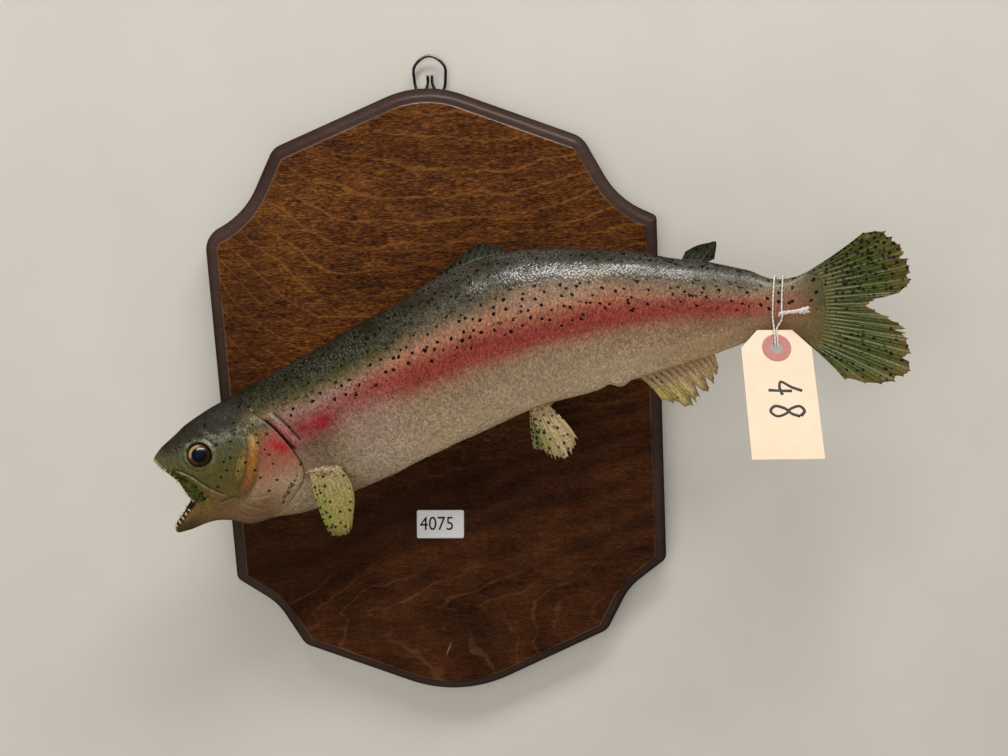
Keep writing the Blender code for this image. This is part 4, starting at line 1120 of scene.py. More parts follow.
# %% Pieces grown by Geometry Nodes
def grown(name, source, material, build, **sizes):
    """Plain mesh object that a tree grows on a source object; build(start, mesh, sizes) adds its nodes."""
    tree = bpy.data.node_groups.new(name, "GeometryNodeTree")
    tree.interface.new_socket("Source", in_out="INPUT", socket_type="NodeSocketGeometry")
    tree.interface.new_socket("Piece", in_out="OUTPUT", socket_type="NodeSocketGeometry")
    key = {}
    for label in sizes:
        socket = tree.interface.new_socket(label, in_out="INPUT", socket_type="NodeSocketFloat")
        key[label] = socket.identifier
    entry = tree.nodes.new("NodeGroupInput")
    start = Wire(tree)
    wires = {label: Wire(tree, entry.outputs[k + 1]) for k, label in enumerate(sizes)}
    piece = build(start, Wire(tree, entry.outputs[0]), wires)
    piece = start.node("GeometryNodeSetMaterial", None, {"Geometry": piece, "Material": material})
    tree.links.new(piece.socket, tree.nodes.new("NodeGroupOutput").inputs[0])
    carrier = placed(name + "_carrier", source.data.copy())
    modifier = carrier.modifiers.new(name, "NODES")
    modifier.node_group = tree
    for label, value in sizes.items():
        modifier[key[label]] = value
    graph = bpy.context.evaluated_depsgraph_get()
    mesh = bpy.data.meshes.new_from_object(carrier.evaluated_get(graph), depsgraph=graph)
    bpy.data.objects.remove(carrier)
    mesh.name = name
    return placed(name, mesh)


def kept(start, geometry, name, kind, value, domain="POINT"):
    """Store a named attribute on a geometry."""
    settings = {"data_type": kind, "domain": domain}
    inputs = {"Geometry": geometry, "Name": name, "Value": value}
    return start.node("GeometryNodeStoreNamedAttribute", settings, inputs)


def named(start, name, kind="FLOAT_VECTOR"):
    return start.node("GeometryNodeInputNamedAttribute", {"data_type": kind}, {"Name": name})


def shifted(start, geometry, position):
    return start.node("GeometryNodeSetPosition", None, {"Geometry": geometry, "Position": position})


def on_unwrap(start, mesh, value, place, kind="FLOAT_VECTOR"):
    """What a value on the skin is at a place of its unwrap."""
    inputs = {"Mesh": mesh, 1: value, 2: named(start, "OFBake"), 3: place}
    return start.node("GeometryNodeSampleUVSurface", {"data_type": kind}, inputs)


def scatter(start, reach, seed):
    """A random vector for each point, up to reach either way."""
    inputs = {0: tuple(-part for part in reach), 1: reach, "Seed": seed}
    return start.node("FunctionNodeRandomValue", {"data_type": "FLOAT_VECTOR"}, inputs)


def chance(start, low, high, seed):
    """A random number for each point."""
    inputs = {2: low, 3: high, "Seed": seed}
    return start.node("FunctionNodeRandomValue", {"data_type": "FLOAT"}, inputs, 1)


print("tree helpers ready")

# %% The tree of scales
SCALE_PITCH = (1.05, 1.35)      # millimetres from scale to scale, along the fish and across
SCALE_LONG = 1.75
SCALE_HALF = 0.8
SCALE_LIFT = 0.12               # how far the free edge stands off the skin
SCALE_SUNK = 0.07               # and how deep the root lies in it
SCALE_CROWN = 0.07
TILT = 0.07                     # unevenness of the scales' lie, as part of a unit normal
PATCH = 0.003                   # size of one scale's patch on the unwrap
COAT_FROM = 0.2                 # where the coat begins on the unwrap
PIECE_LONG = 0.31               # length of each piece of the coat on the unwrap
PIECE_WIDE = 0.25               # and its width
AHEAD = 0.004                   # step on the unwrap that shows where the tail is


def scale_plate(start, size):
    """One plate of twelve triangles: its root at the origin, its tip along x, crowned and lifted."""
    plate = start.node("GeometryNodeMeshUVSphere", None, {"Segments": 6, "Rings": 2, "Radius": 1.0})
    x, y, z = start.node("GeometryNodeInputPosition").parts()
    on_rim = start.math("LESS_THAN", z * z, 0.01)
    plate = start.node("GeometryNodeSetShadeSmooth", {"domain": "EDGE"},
                       {"Geometry": plate, "Selection": on_rim, "Shade Smooth": False})
    share = x * 0.5 + 0.5
    across_plate = y * (size["Half"] / 0.866)
    crown = z * (start.math("GREATER_THAN", z, 0.0) * 0.6 + 0.4) * size["Crown"]
    rise = share * (size["Lift"] + size["Sunk"]) - size["Sunk"] + crown
    plate = kept(start, plate, "local", "FLOAT_VECTOR", start.vector(share, y, 0.0))
    return shifted(start, plate, start.vector(share * size["Long"], across_plate, rise))


def scale_roots(start, skin, size):
    """Staggered points on the skin that know their place, their turn and whether the skin is coated."""
    count_u = int(PIECE_LONG * UNWRAP / SCALE_PITCH[0])
    count_v = int(PIECE_WIDE * UNWRAP / SCALE_PITCH[1])
    grid = start.node("GeometryNodeMeshGrid", None,
                      {"Size X": 1.0, "Size Y": 1.0, "Vertices X": count_u, "Vertices Y": count_v})
    gx, gy, _ = start.node("GeometryNodeInputPosition").parts()
    column = start.math("ROUND", (gx + 0.5) * (count_u - 1))
    stagger = start.math("FLOORED_MODULO", column, 2.0) * 0.5 - 0.25
    jx, jy, _ = scatter(start, (0.3, 0.2, 0.0), 11).parts()
    step_u = PIECE_LONG / count_u
    u = column * step_u + size["Start"] + jx * step_u
    v = (gy + 0.5) * (size["To"] - size["From"]) + size["From"] + (stagger + jy) * (SCALE_PITCH[1] / UNWRAP)
    root, ahead = start.vector(u, v, 0.0), start.vector(u + AHEAD, v, 0.0)
    position = start.node("GeometryNodeInputPosition")
    here, there = on_unwrap(start, skin, position, root), on_unwrap(start, skin, position, ahead)
    lie = start.node("ShaderNodeVectorMath", {"operation": "SUBTRACT"}, {0: there, 1: here})
    normal = on_unwrap(start, skin, start.node("GeometryNodeInputNormal"), root)
    normal = start.node("ShaderNodeVectorMath", {"operation": "ADD"},
                        {0: normal, 1: scatter(start, (TILT, TILT, TILT), 23)})
    turn = start.node("FunctionNodeAxesToRotation", {"primary_axis": "Z", "secondary_axis": "X"},
                      {"Primary Axis": normal, "Secondary Axis": lie})
    coated = on_unwrap(start, skin, named(start, "scaled", "FLOAT"), root, "FLOAT")
    points = start.node("GeometryNodeMeshToPoints", None, {"Mesh": grid})
    points = kept(start, points, "root", "FLOAT_VECTOR", root)
    points = kept(start, points, "turn", "QUATERNION", turn)
    points = kept(start, points, "coated", "FLOAT", coated)
    return shifted(start, points, here)


def scale_tree(start, skin, size):
    """One piece of the coat: plates set on roots, which take the paint's values from the skin."""
    wanted = start.math("GREATER_THAN", named(start, "coated", "FLOAT"), chance(start, 0.2, 0.8, 7))
    inputs = {"Points": scale_roots(start, skin, size), "Selection": wanted,
              "Instance": scale_plate(start, size), "Rotation": named(start, "turn", "QUATERNION"),
              "Scale": chance(start, 0.85, 1.15, 5)}
    coat = start.node("GeometryNodeInstanceOnPoints", None, inputs)
    coat = start.node("GeometryNodeRealizeInstances", None, {0: coat})
    root_u, root_v, _ = named(start, "root").parts()
    local_x, local_y, _ = named(start, "local").parts()
    patch = start.vector(root_u + (local_x - 0.2) * PATCH, root_v + local_y * (PATCH / 2), 0.0)
    coat = kept(start, coat, "OFBake", "FLOAT2", patch, "CORNER")
    true_u = root_u + local_x * (SCALE_LONG * 0.9 / UNWRAP)
    true = start.vector(true_u, root_v + local_y * (SCALE_HALF / UNWRAP), 0.0)
    for label in ("pelt", "marks", "tones", "form", "cheek"):
        coat = kept(start, coat, label, "FLOAT_VECTOR", on_unwrap(start, skin, named(start, label), true))
    behind = on_unwrap(start, skin, named(start, "behind_gill", "FLOAT"), true, "FLOAT")
    coat = kept(start, coat, "behind_gill", "FLOAT", behind)
    edge = start.vector(local_x, local_y, root_u * 911 + root_v * 577)
    return kept(start, coat, "edge", "FLOAT_VECTOR", edge)


def trout_scales(start):
    skin, lie = trout_colours(start)
    tip, _, number = start.attribute("edge", "Vector").parts()
    tone = number.math("FRACT", number)
    # a random tone for each scale, a little darker towards its free edge, and painted shade over the flank
    # above the belly's bottom, in place of the scales' own shading
    shade = (tone * 0.26 + 0.4 - tip.step(0.75, 1.0) * 0.06) * (1 - lie.band.step(-34, -12) * 0.22)
    rough = lie.cloud * 0.2 + tone * 0.15 + 0.2
    wet = lie.band.step(11, 19) * lie.s.step(130, 205) * lie.s.step(305, 250)
    wet = wet * lie.cloud.step(0.3, 0.6)
    return {"Base Color": skin.mix(1.0, shade, "OVERLAY"), "Roughness": rough,
            "Coat Weight": wet * 0.68 + 0.08, "Normal": bumped(start, lie.grain, 0.00012, 0.5)}


SCALES = finish_of("trout_scales", trout_scales, Specular_IOR_Level=0.4, Coat_IOR=1.75, Coat_Roughness=0.2)
sizes = {"Long": SCALE_LONG * MM, "Half": SCALE_HALF * MM, "Lift": SCALE_LIFT * MM, "Sunk": SCALE_SUNK * MM,
         "Crown": SCALE_CROWN * MM}
for side, low in (("right", 0.5 - PIECE_WIDE), ("left", 0.5)):
    for part, begin in (("front", COAT_FROM), ("rear", COAT_FROM + PIECE_LONG)):
        label = "scales_" + side + "_" + part
        coat = grown(label, trout, SCALES, scale_tree, From=low, To=low + PIECE_WIDE, Start=begin, **sizes)
        ride(coat, "fish_skin")
        print("UV maps", [layer.name for layer in coat.data.uv_layers])

# %% [markdown]
# ## The fins
# A fin is a web held by bony rays that fork once on their way to the edge. Dried on a mount, the web
# shrinks, ripples and tears between the rays, so that the tips stand free like a worn brush. Each fin is
# one closed sheet: its grid runs from a base line to a tip line, the rays are thicker ridges on both
# faces, and the edge is cut back between them.

# %% Sheets with two faces
def two_faced(name, middle, half, material):
    """Closed sheet round a grid of middle points, half thick to each side."""
    along, across = np.gradient(middle, axis=0), np.gradient(middle, axis=1)
    normal = np.cross(along, across)
    normal = normal / np.maximum(np.linalg.norm(normal, axis=-1, keepdims=True), 1e-9)
    rows, columns = middle.shape[:2]
    count = rows * columns
    points = np.concatenate([(middle + normal * half[..., None]).reshape(-1, 3),
                             (middle - normal * half[..., None]).reshape(-1, 3)])
    front = quads(rows, columns)
    numbers = np.arange(count).reshape(rows, columns)
    rim = np.concatenate([numbers[0, :-1], numbers[:-1, -1], numbers[-1, :0:-1], numbers[:0:-1, 0]])
    after = np.roll(rim, -1)
    edge = np.stack([after, rim, rim + count, after + count], -1)
    return new_piece(name, points, [np.concatenate([front, front[:, ::-1] + count, edge])], [material])


FIN_COLUMNS = 12                # grid columns to each ray
FIN_ROWS = 46


def worn_edge(phase, share, torn, seed, tears):
    """How far the edge is cut back: little at a ray's tip, more in the web, most in a tear."""
    draw = np.random.default_rng(seed)
    count = int(phase.max()) + 2
    web, ray = draw.uniform(0.25, 1.0, count) ** 1.6, draw.uniform(0.0, 1.0, count) ** 2
    cut = 3.4 * web[np.floor(phase).astype(int)] * np.abs(np.sin(math.pi * phase)) ** 0.6
    cut = cut + 1.3 * ray[np.round(phase).astype(int)] + 0.3 * np.abs(np.sin(2 * math.pi * phase))
    cut = cut * torn
    for middle, half, depth in tears:
        cut = cut + depth * np.clip(1 - np.abs(share - middle) / half, 0, 1) ** 0.7
    return cut


def rayed_fin(name, node, base, tip, rays, bulge, root_half, material, *, torn, ruffle, seed, tears=()):
    """Fin between two curves of (share, length, height, side), with forked rays and a worn edge."""
    columns = rays * FIN_COLUMNS + 1
    share = np.linspace(0, 1, columns)[:, None]
    along = np.linspace(0, 1, FIN_ROWS)[None, :]
    root, end = base(share[:, 0])[:, None, :], tip(share[:, 0])[:, None, :]
    length = np.linalg.norm(end - root, axis=-1)
    phase = share * rays
    stem = np.abs(np.cos(math.pi * phase)) ** 3
    fork = np.abs(np.cos(2 * math.pi * phase)) ** 2
    worn = np.minimum(worn_edge(phase, share, torn, seed, tears), length * 0.6)
    reach = along * (1 - worn / length)
    body = root + (end - root) * reach[..., None]
    arch = 4 * reach * (1 - reach) * (bulge[0] * (1 - share) + bulge[1] * share)
    wave = np.sin(math.pi * phase + seed) + 0.6 * np.sin(phase * 1.3 + 2 * seed)
    wave = ruffle * along ** 1.3 * wave * np.minimum(length, 20) / 20
    middle = body_point(body[..., 0] + arch, body[..., 1], body[..., 2] + wave)
    split = step(along, 0.35, 0.6)
    ridge = stem * (1 - split) + split * (0.35 * stem + 0.65 * fork)
    joints = 0.85 + 0.15 * np.cos(along * length * 2 * math.pi / 1.1)
    half = 0.12 + (0.3 * (1 - 0.6 * along)) * ridge * joints
    half = np.maximum(half, (root_half - 0.1) * (1 - step(along, 0.0, 0.22)))
    half = half * np.clip(np.minimum(share, 1 - share) * rays * 3, 0.35, 1)
    fin = two_faced(name, middle, half, material)
    ray = np.stack([along * np.ones_like(ridge), ridge, along * length], -1).reshape(-1, 3)
    note(fin, "ray", np.concatenate([ray, ray]))
    place = np.broadcast_to(share, ridge.shape).ravel()
    note(fin, "share", np.concatenate([place, place]))
    return ride(fin, "fin_green" if material in (GREEN_FIN, DARK_FIN) else "fin_pale", node)


# %% Paint of the fins
SPOTS_PER_METRE = 410


def fin_finish(name, chips, ray_chip, web_chip, spot, speck_size, tips, front=None):
    """Fin paint: chips from root to tip, of rays, with painted glints near the root, and of web,
    spots' share and size, worn tips, front edge.
    """
    def paint(start):
        along, ridge, long = start.attribute("ray", "Vector").parts()
        place = place_of(start)
        cloud = place.noise(160, 3)
        grain = place.noise(1100, 3, 0.65)
        wavy = along + (cloud - 0.5) * 0.25
        skin = wavy.ramp(*chips)
        leading = start.attribute("share").step(0.5, 0.12)
        if front:
            skin = skin.mix(leading * wavy.step(0.15, 0.5) * 0.85, front)
        # pale rays, paler still towards the root: the rays' own colour with painted glints along them
        skin = skin.mix(ridge.step(0.5, 1.0) * (along.step(0.6, 0.15) * 0.35 + 0.3), ray_chip)
        skin = skin.mix(ridge.step(0.35, 0.0) * along.step(0.1, 0.3) * 0.5, web_chip)
        east, _, high = place.parts()
        dots = start.vector(east * SPOTS_PER_METRE, high * SPOTS_PER_METRE, 0.0)
        lottery, kind, _ = dots.cells(1.0, "Color").parts()
        chosen = (spot * along.step(0.02, 0.2) * (leading * 0.7 + 0.3) - lottery).step(0.0, 0.03)
        skin = skin.mix(1.0, grain * 1.3 - 0.13, "OVERLAY")
        skin = skin.mix((along + (cloud - 0.5) * 0.4).step(0.84, 1.0) * 0.7, tips)
        speck = 1 - (dots.cells(1.0) / (kind * speck_size + speck_size * 0.8)).step(0.7, 1.15)
        skin = skin.mix(speck * chosen * 0.92, (20, 17, 13))
        relief = ridge * 0.5 + grain * 0.4 + (long * 5.7).sine() * ridge * 0.15
        return {"Base Color": skin, "Roughness": cloud * 0.25 + 0.28,
                "Normal": bumped(start, relief, 0.0004, 0.7)}
    return finish_of(name, paint, Specular_IOR_Level=0.4, Coat_Weight=0.15, Coat_Roughness=0.2)


GREEN_FIN = fin_finish("fin_green_web", ((0.0, 92, 86, 48), (0.14, 78, 80, 40), (0.35, 64, 72, 30),
                                         (0.7, 70, 80, 28), (1.0, 96, 86, 36)),
                       (132, 130, 88), (40, 48, 20), 0.95, 0.24, (100, 80, 34))
PALE_FIN = fin_finish("fin_pale_web", ((0.0, 166, 144, 106), (0.25, 146, 132, 84), (0.8, 134, 124, 62),
                                       (1.0, 112, 100, 48)),
                      (150, 142, 92), (108, 102, 48), 0.75, 0.2, (96, 84, 40), (122, 122, 56))
CREAM_FIN = fin_finish("fin_cream_web", ((0.0, 178, 152, 118), (0.4, 172, 150, 112), (1.0, 160, 140, 104)),
                       (186, 168, 132), (112, 92, 62), 0.9, 0.24, (150, 128, 94), (112, 118, 52))
TAN_FIN = fin_finish("fin_tan_web", ((0.0, 150, 122, 92), (0.4, 162, 136, 100), (0.8, 150, 124, 84),
                                     (1.0, 120, 96, 60)),
                     (104, 78, 54), (186, 162, 124), 0.08, 0.2, (104, 88, 54), (154, 142, 74))
DARK_FIN = fin_finish("fin_dark", ((0.0, 64, 66, 52), (0.5, 54, 58, 42), (1.0, 40, 42, 30)),
                      (84, 88, 70), (38, 42, 28), 0.8, 0.26, (34, 34, 26))
print("fin finishes", [m.name for m in (GREEN_FIN, PALE_FIN, CREAM_FIN, TAN_FIN, DARK_FIN)])

# %% The fins themselves
rayed_fin("caudal_web", "caudal_fin",
          Curve((0, 336.5, 15.4, 0), (0.1, 340.5, 16.0, 0), (0.22, 343.0, 11.5, 0), (0.5, 345.0, -1.0, 0),
                (0.78, 343.2, -13.0, 0), (0.9, 340.5, -17.4, 0), (1, 336.5, -16.6, 0)),
          Curve((0, 364.7, 35.6, 4.0), (0.08, 376.2, 35.9, 4.0), (0.16, 382.7, 27.8, 3.0),
                (0.27, 387.0, 17.8, 1.5), (0.38, 384.2, 7.5, 0.0), (0.47, 368.6, 0.6, 0.0),
                (0.56, 381.7, -7.4, 0.0), (0.7, 386.7, -17.4, 1.0), (0.86, 385.2, -34.2, 3.0),
                (0.94, 372.7, -37.8, 3.5), (1, 357.7, -36.3, 3.0)),
          28, (1.2, 1.2), 0.9, GREEN_FIN, torn=0.9, ruffle=0.45, seed=3,
          tears=((0.2, 0.012, 3.0), (0.43, 0.01, 5.0), (0.63, 0.012, 4.0), (0.78, 0.01, 2.5)))
rayed_fin("dorsal_web", "dorsal_fin",
          Curve((0, 163.0, 37.8, 0), (0.4, 176.0, 39.5, 0), (0.7, 187.0, 40.3, 0), (1, 197.0, 40.0, 0)),
          Curve((0, 167.0, 41.2, 0.5), (0.35, 178.0, 45.3, 1.0), (0.6, 189.5, 48.8, 1.5),
                (0.72, 191.5, 46.1, 1.0), (0.85, 195.0, 45.2, 0.5), (1, 199.5, 42.9, 0.5)),
          10, (0.5, 0.3), 1.1, DARK_FIN, torn=0.45, ruffle=0.6, seed=5)
rayed_fin("adipose_web", "adipose_fin",
          Curve((0, 278.0, 22.0, 0), (0.5, 283.0, 21.0, 0), (1, 289.0, 20.2, 0)),
          Curve((0, 280.5, 26.8, 0.5), (0.3, 285.5, 29.4, 1.5), (0.6, 291.0, 30.7, 2.0),
                (0.85, 295.2, 30.3, 2.0), (1, 294.0, 22.8, 1.0)),
          5, (0.0, 0.0), 1.3, DARK_FIN, torn=0.1, ruffle=0.15, seed=6)
rayed_fin("anal_web", "anal_fin",
          Curve((0, 251.8, -34.5, 0), (0.5, 273.0, -29.3, 0), (1, 293.0, -23.9, 0)),
          Curve((0, 264.5, -48.6, 1.0), (0.2, 279.0, -51.8, 2.5), (0.45, 287.0, -47.0, 3.0),
                (0.7, 293.0, -41.3, 2.0), (1, 296.0, -32.5, 1.0)),
          12, (1.5, 0.5), 1.2, TAN_FIN, torn=1.0, ruffle=0.8, seed=8,
          tears=((0.3, 0.025, 3.0), (0.47, 0.05, 7.0), (0.68, 0.05, 7.0), (0.84, 0.03, 4.0)))
rayed_fin("pectoral_web_left", "pectoral_fin_left",
          Curve((0, 69.0, -24.0, 20.2), (0.5, 76.0, -25.3, 20.6), (1, 83.5, -27.0, 20.8)),
          Curve((0, 66.2, -53.3, 26.5), (0.3, 68.2, -56.5, 28.0), (0.75, 75.5, -57.0, 27.5),
                (1, 78.3, -52.3, 26.0)),
          9, (-1.0, 4.0), 1.4, PALE_FIN, torn=0.2, ruffle=0.45, seed=9,
          tears=((0.72, 0.05, 2.0), (0.86, 0.04, 1.5)))
rayed_fin("pectoral_web_right", "pectoral_fin_right",
          Curve((0, 69.0, -24.0, -20.4), (0.5, 76.0, -24.4, -21.0), (1, 83.5, -25.0, -21.5)),
          Curve((0, 88.0, -42.8, -20.0), (0.4, 94.0, -43.3, -21.2), (0.75, 99.0, -40.8, -22.2),
                (1, 101.0, -36.0, -23.2)),
          9, (-1.0, 1.0), 1.0, PALE_FIN, torn=0.3, ruffle=0.2, seed=10)
for side, label in ((1, "left"), (-1, "right")):
    shift = 0.0 if side > 0 else -7.0
    rayed_fin("pelvic_web_" + label, "pelvic_fin_" + label,
              Curve((0, 190.0, -38.6, side * 5.3), (1, 198.0, -38.6, side * 5.3)),
              Curve((0, 191.7 + shift, -64.7, side * 11.0), (0.3, 197.0 + shift, -67.7, side * 12.3),
                    (0.7, 205.8 + shift, -65.7, side * 12.3), (1, 210.6 + shift, -60.0, side * 11.0)),
              9, (-1.0, 1.5), 1.5, CREAM_FIN, torn=0.9, ruffle=0.7, seed=12 + side)


# %% Roots of the paired fins
def dry_flesh(start):
    folds = place_of(start).noise(520, 4, 0.7)
    # the colour follows the folds' height: painted shade in the hollows and painted highlight on the crests
    skin = folds.ramp((0.34, 74, 54, 34), (0.47, 142, 118, 82), (0.62, 198, 176, 136))
    return {"Base Color": skin, "Roughness": folds * 0.3 + 0.25, "Normal": bumped(start, folds, 0.0009, 0.9)}


FLESH = finish_of("dry_flesh", dry_flesh, Coat_Weight=0.2, Coat_Roughness=0.2)


def fin_root(name, line, fat):
    """Wrinkled roll of dried skin where a paired fin leaves the body."""
    path = smooth_path(body_point(*np.array(line, float).T), 60)

    def radius(share, angle):
        ends_in = math.sin(math.pi * min(max(share, 0.02), 0.98)) ** 0.5
        places = [(share * 24, math.cos(a) * 2.2 + fat, math.sin(a) * 2.2) for a in angle]
        return fat * ends_in * (1 + 0.6 * np.array([noise.noise(Vector(p)) for p in places]))

    return ride(tube(name, sweep(path, radius, 28), [FLESH]), "fish_skin")


for side, label in ((1, "left"), (-1, "right")):
    fin_root("pectoral_root_" + label, ((67.5, -22.6, side * 19.6), (72.0, -24.3, side * 20.2),
                                        (78.0, -26.0, side * 20.6), (85.0, -27.8, side * 20.4)), 2.2)
    fin_root("pelvic_root_" + label, ((186.5, -37.2, side * 6.4), (191.0, -39.4, side * 6.0),
                                      (196.0, -39.7, side * 5.6), (203.0, -38.3, side * 5.4)), 1.8)

# %% [markdown]
# ## Eyes, teeth and tongue
# A taxidermist sets glass eyes: a low lens, painted behind, very glossy. It is turned from one profile.
# The iris is painted by the distance from the lens's middle, so a ring pattern is enough, with painted light
# at its upper left and painted shade at its lower right. Teeth are small curved cones in two uneven rows,
# and the tongue is a low keel in the lower jaw.

# %% Glass eyes
EYE_DEEP = 3.5
EYE_PROUD = 1.8
EYE_RINGS = 26
EYE_SIDES = 56
LOOKS_OUT, LOOKS_UP = 0.96, 0.28


def glass_eye(start):
    x, y, r = start.attribute("lens", "Vector").parts()
    place = place_of(start)
    threads = place.noise(900, 3, 0.7)
    cloud = place.noise(260, 2)
    turned_r = r + (threads - 0.5) * 0.06
    iris = turned_r.ramp((0.0, 10, 11, 18), (0.5, 13, 15, 25), (0.57, 20, 17, 18),
                         (0.63, 52, 38, 28), (0.72, 74, 54, 38), (0.8, 80, 57, 40),
                         (0.86, 62, 42, 28), (0.91, 18, 14, 11), (1.0, 9, 8, 7))
    # painted light: the iris paler and golden at its upper left
    gold_highlight = (y * 0.75 - x * 0.65 + (cloud - 0.5)).step(0.3, 0.95) * r.step(0.6, 0.66) * r.step(0.88, 0.83)
    iris = iris.mix(gold_highlight * 0.75, (190, 148, 102))
    iris = iris.mix(r.step(0.5, 0.1) * 0.3, (30, 38, 66))
    # painted shade: the iris darker at its lower right
    shade = (x * 0.75 - y * 0.6).step(-0.2, 0.5) * r.step(0.55, 0.62)
    return {"Base Color": iris.mix(shade * 0.75, (40, 25, 15))}


EYE_GLASS = finish_of("glass_eye", glass_eye, Roughness=0.25, Coat_Weight=0.5, Coat_Roughness=0.08, IOR=1.45)


def make_eye(name, side):
    s, height = EYE_AT
    share = (height - float(WIDEST(s))) / float(BACK(s) - WIDEST(s))
    angle = math.degrees(math.asin(share ** (ROUND / 2)))
    rise, reach = section(s, angle if side > 0 else 180 - angle)
    surface = body_point(s, rise, reach)
    _, tangent, up, left = frame_at(s)
    out = left * side * LOOKS_OUT + up * LOOKS_UP
    out = out / np.linalg.norm(out)
    ahead = tangent - out * (tangent @ out)
    ahead = ahead / np.linalg.norm(ahead)
    upward = np.cross(ahead, out) * (1 if np.cross(ahead, out)[2] > 0 else -1)
    centre = surface - out * (EYE_DEEP - EYE_PROUD)
    tilt = np.linspace(math.pi / 2, -0.5 * math.pi, EYE_RINGS + 2)[1:-1]
    turn = np.arange(EYE_SIDES) * 2 * math.pi / EYE_SIDES
    rings, lens = [], []
    for a in tilt:
        r = math.cos(a) * (EYE_R - 0.12)
        ring = centre + np.outer(np.cos(turn) * r, ahead) + np.outer(np.sin(turn) * r, upward)
        rings.append(ring + out * math.sin(a) * (EYE_DEEP - 0.05))
        lens.append(np.stack([np.cos(turn), np.sin(turn), np.full(EYE_SIDES, r / EYE_R)], -1))
    eye = tube(name + "_glass", np.array(rings), [EYE_GLASS])
    note(eye, "lens", np.concatenate([*lens, [[0, 0, 0], [0, 0, 0]]]))
    return ride(eye, "eye_glass", name)


make_eye("eye_left", 1)
make_eye("eye_right", -1)


# %% Teeth and tongue
def ivory(start):
    root = start.attribute("root")
    stain = place_of(start).noise(700, 2)
    skin = (root + (stain - 0.5) * 0.5).ramp((0.0, 120, 92, 62), (0.3, 186, 162, 120),
                                             (0.75, 222, 208, 172), (1.0, 150, 122, 86))
    return {"Base Color": skin, "Normal": bumped(start, stain, 0.0002, 0.4)}


IVORY = finish_of("tooth_ivory", ivory, Roughness=0.3, Coat_Weight=0.3)


def make_teeth():
    """Cones along the lips: the lower row from the chin, the upper one over the snout."""
    parts = []
    for angles, lean, long in ((np.arange(-84, -27, 6.4), 1.0, 2.0), (np.arange(-19, 74, 5.6), -1.0, 1.8)):
        for angle in angles:
            for side in (1, -1):
                angle_here = angle + RANDOM.uniform(-1.4, 1.4)
                turn = angle_here if side > 0 else 180 - angle_here
                s = float(LIPS(angle_here))
                rise, reach = section(s, turn)
                tall = long * RANDOM.uniform(0.55, 1.15)
                rise = rise * 0.965
                root = body_point(s + 0.9, rise - lean * 0.2, reach * 0.93)
                tip = body_point(s + 0.1 + RANDOM.uniform(-0.6, 0.3), rise + lean * tall, reach * 0.87)
                bend = body_point(s - 0.2, rise + lean * tall * 0.5, reach * 0.93)
                t = np.linspace(0, 1, 7)[:, None]
                path = (1 - t) ** 2 * root + 2 * t * (1 - t) * bend + t * t * tip
                fat = RANDOM.uniform(0.42, 0.6)
                cone = sweep(path, lambda u, a, fat=fat: np.full(8, fat * (1 - 0.93 * u ** 1.4)), 8)
                parts.append(tube("tooth", cone, [IVORY]))
                note(parts[-1], "root", np.concatenate([np.repeat(t[:, 0], 8), [0, 1]]))
    return join(parts, "teeth")


def make_tongue():
    rings = []
    for share in np.linspace(0, 1, 22):
        s = 11.0 + 17.0 * share
        wide = 3.6 * math.sin(math.pi * min(0.08 + share * 0.8, 0.96)) + 0.5
        high = 1.5 * math.sin(math.pi * min(0.1 + share * 0.7, 0.95))
        turn = np.arange(24) * 2 * math.pi / 24
        floor = -float(BELLY(s)) + 4.0 + 5.5 * share
        rings.append(body_point(np.full(24, s), floor + high * np.sin(turn) - 0.5 * bump(np.cos(turn), 0.25),
                                wide * np.cos(turn)))
    return tube("tongue", np.array(rings), [TONGUE])


tongue_skin = speckled(800, 3, 0.6, ((0.3, 96, 54, 40), (0.7, 150, 96, 72)), (0.0004, 0.6))
TONGUE = finish_of("tongue_skin", tongue_skin, Roughness=0.35, Coat_Weight=0.3)
ride(make_teeth(), "fish_skin")
ride(make_tongue(), "fish_skin")

# %% [markdown]
# ## The plaque
# The plaque is a board with a moulding routed round its edge: a straight part next to the wall, a cove,
# a small step, then the face. One outline of corners and roundings is moved inwards for each line of the
# moulding, which is what a router's guide does, and the rings are joined. The hanger's recess is cut at
# the back. The wood is stained brown, darker in the moulding, and varnished.

# %% Plaque outline
BOARD_APEX = 168.5
BOARD_FOOT = -170.0
BOARD_LEAN = 0.015              # shift to the left for each millimetre upwards
EDGE_STRAIGHT = 8.5
EDGE_STEP = 1.5
EDGE_WIDTH = 7.0
ARC_POINTS = 14
SHARPEST = 0.6                  # least rounding of an outer corner


def board_corners(inset):
    """Corner, directions before and after it, and rounding, moved in by inset."""
    side = BOARD_HALF_WIDTH
    right = [(0.0, BOARD_APEX, 55.0), (81.0, 137.0, 14.0), (98.5, 104.5, 45.0), (side, 95.0, 3.0),
             (side, -93.5, 5.0), (97.5, -109.0, 32.0), (84.5, -133.5, 9.0), (0.0, BOARD_FOOT, 70.0)]
    left = [(-x, z, r) for x, z, r in right[-2:0:-1]]
    left[3:] = [(-side, 93.5, 13.0), (-97.0, 104.0, 45.0), (-79.5, 137.0, 10.0)]
    corners = [(x - BOARD_LEAN * z, z, r) for x, z, r in right + left]
    moved = []
    for k, (x, z, r) in enumerate(corners):
        before = np.subtract((x, z), corners[k - 1][:2])
        after = np.subtract(corners[(k + 1) % len(corners)][:2], (x, z))
        before, after = before / np.linalg.norm(before), after / np.linalg.norm(after)
        inward = [np.array([d[1], -d[0]]) for d in (before, after)]
        bisector = (inward[0] + inward[1]) / (1 + inward[0] @ inward[1])
        outer = before[0] * after[1] - before[1] * after[0] < 0
        rounding = max(r - inset, SHARPEST) if outer else r + inset
        moved.append((np.array([x, z]) + bisector * inset, before, after, rounding))
    return moved


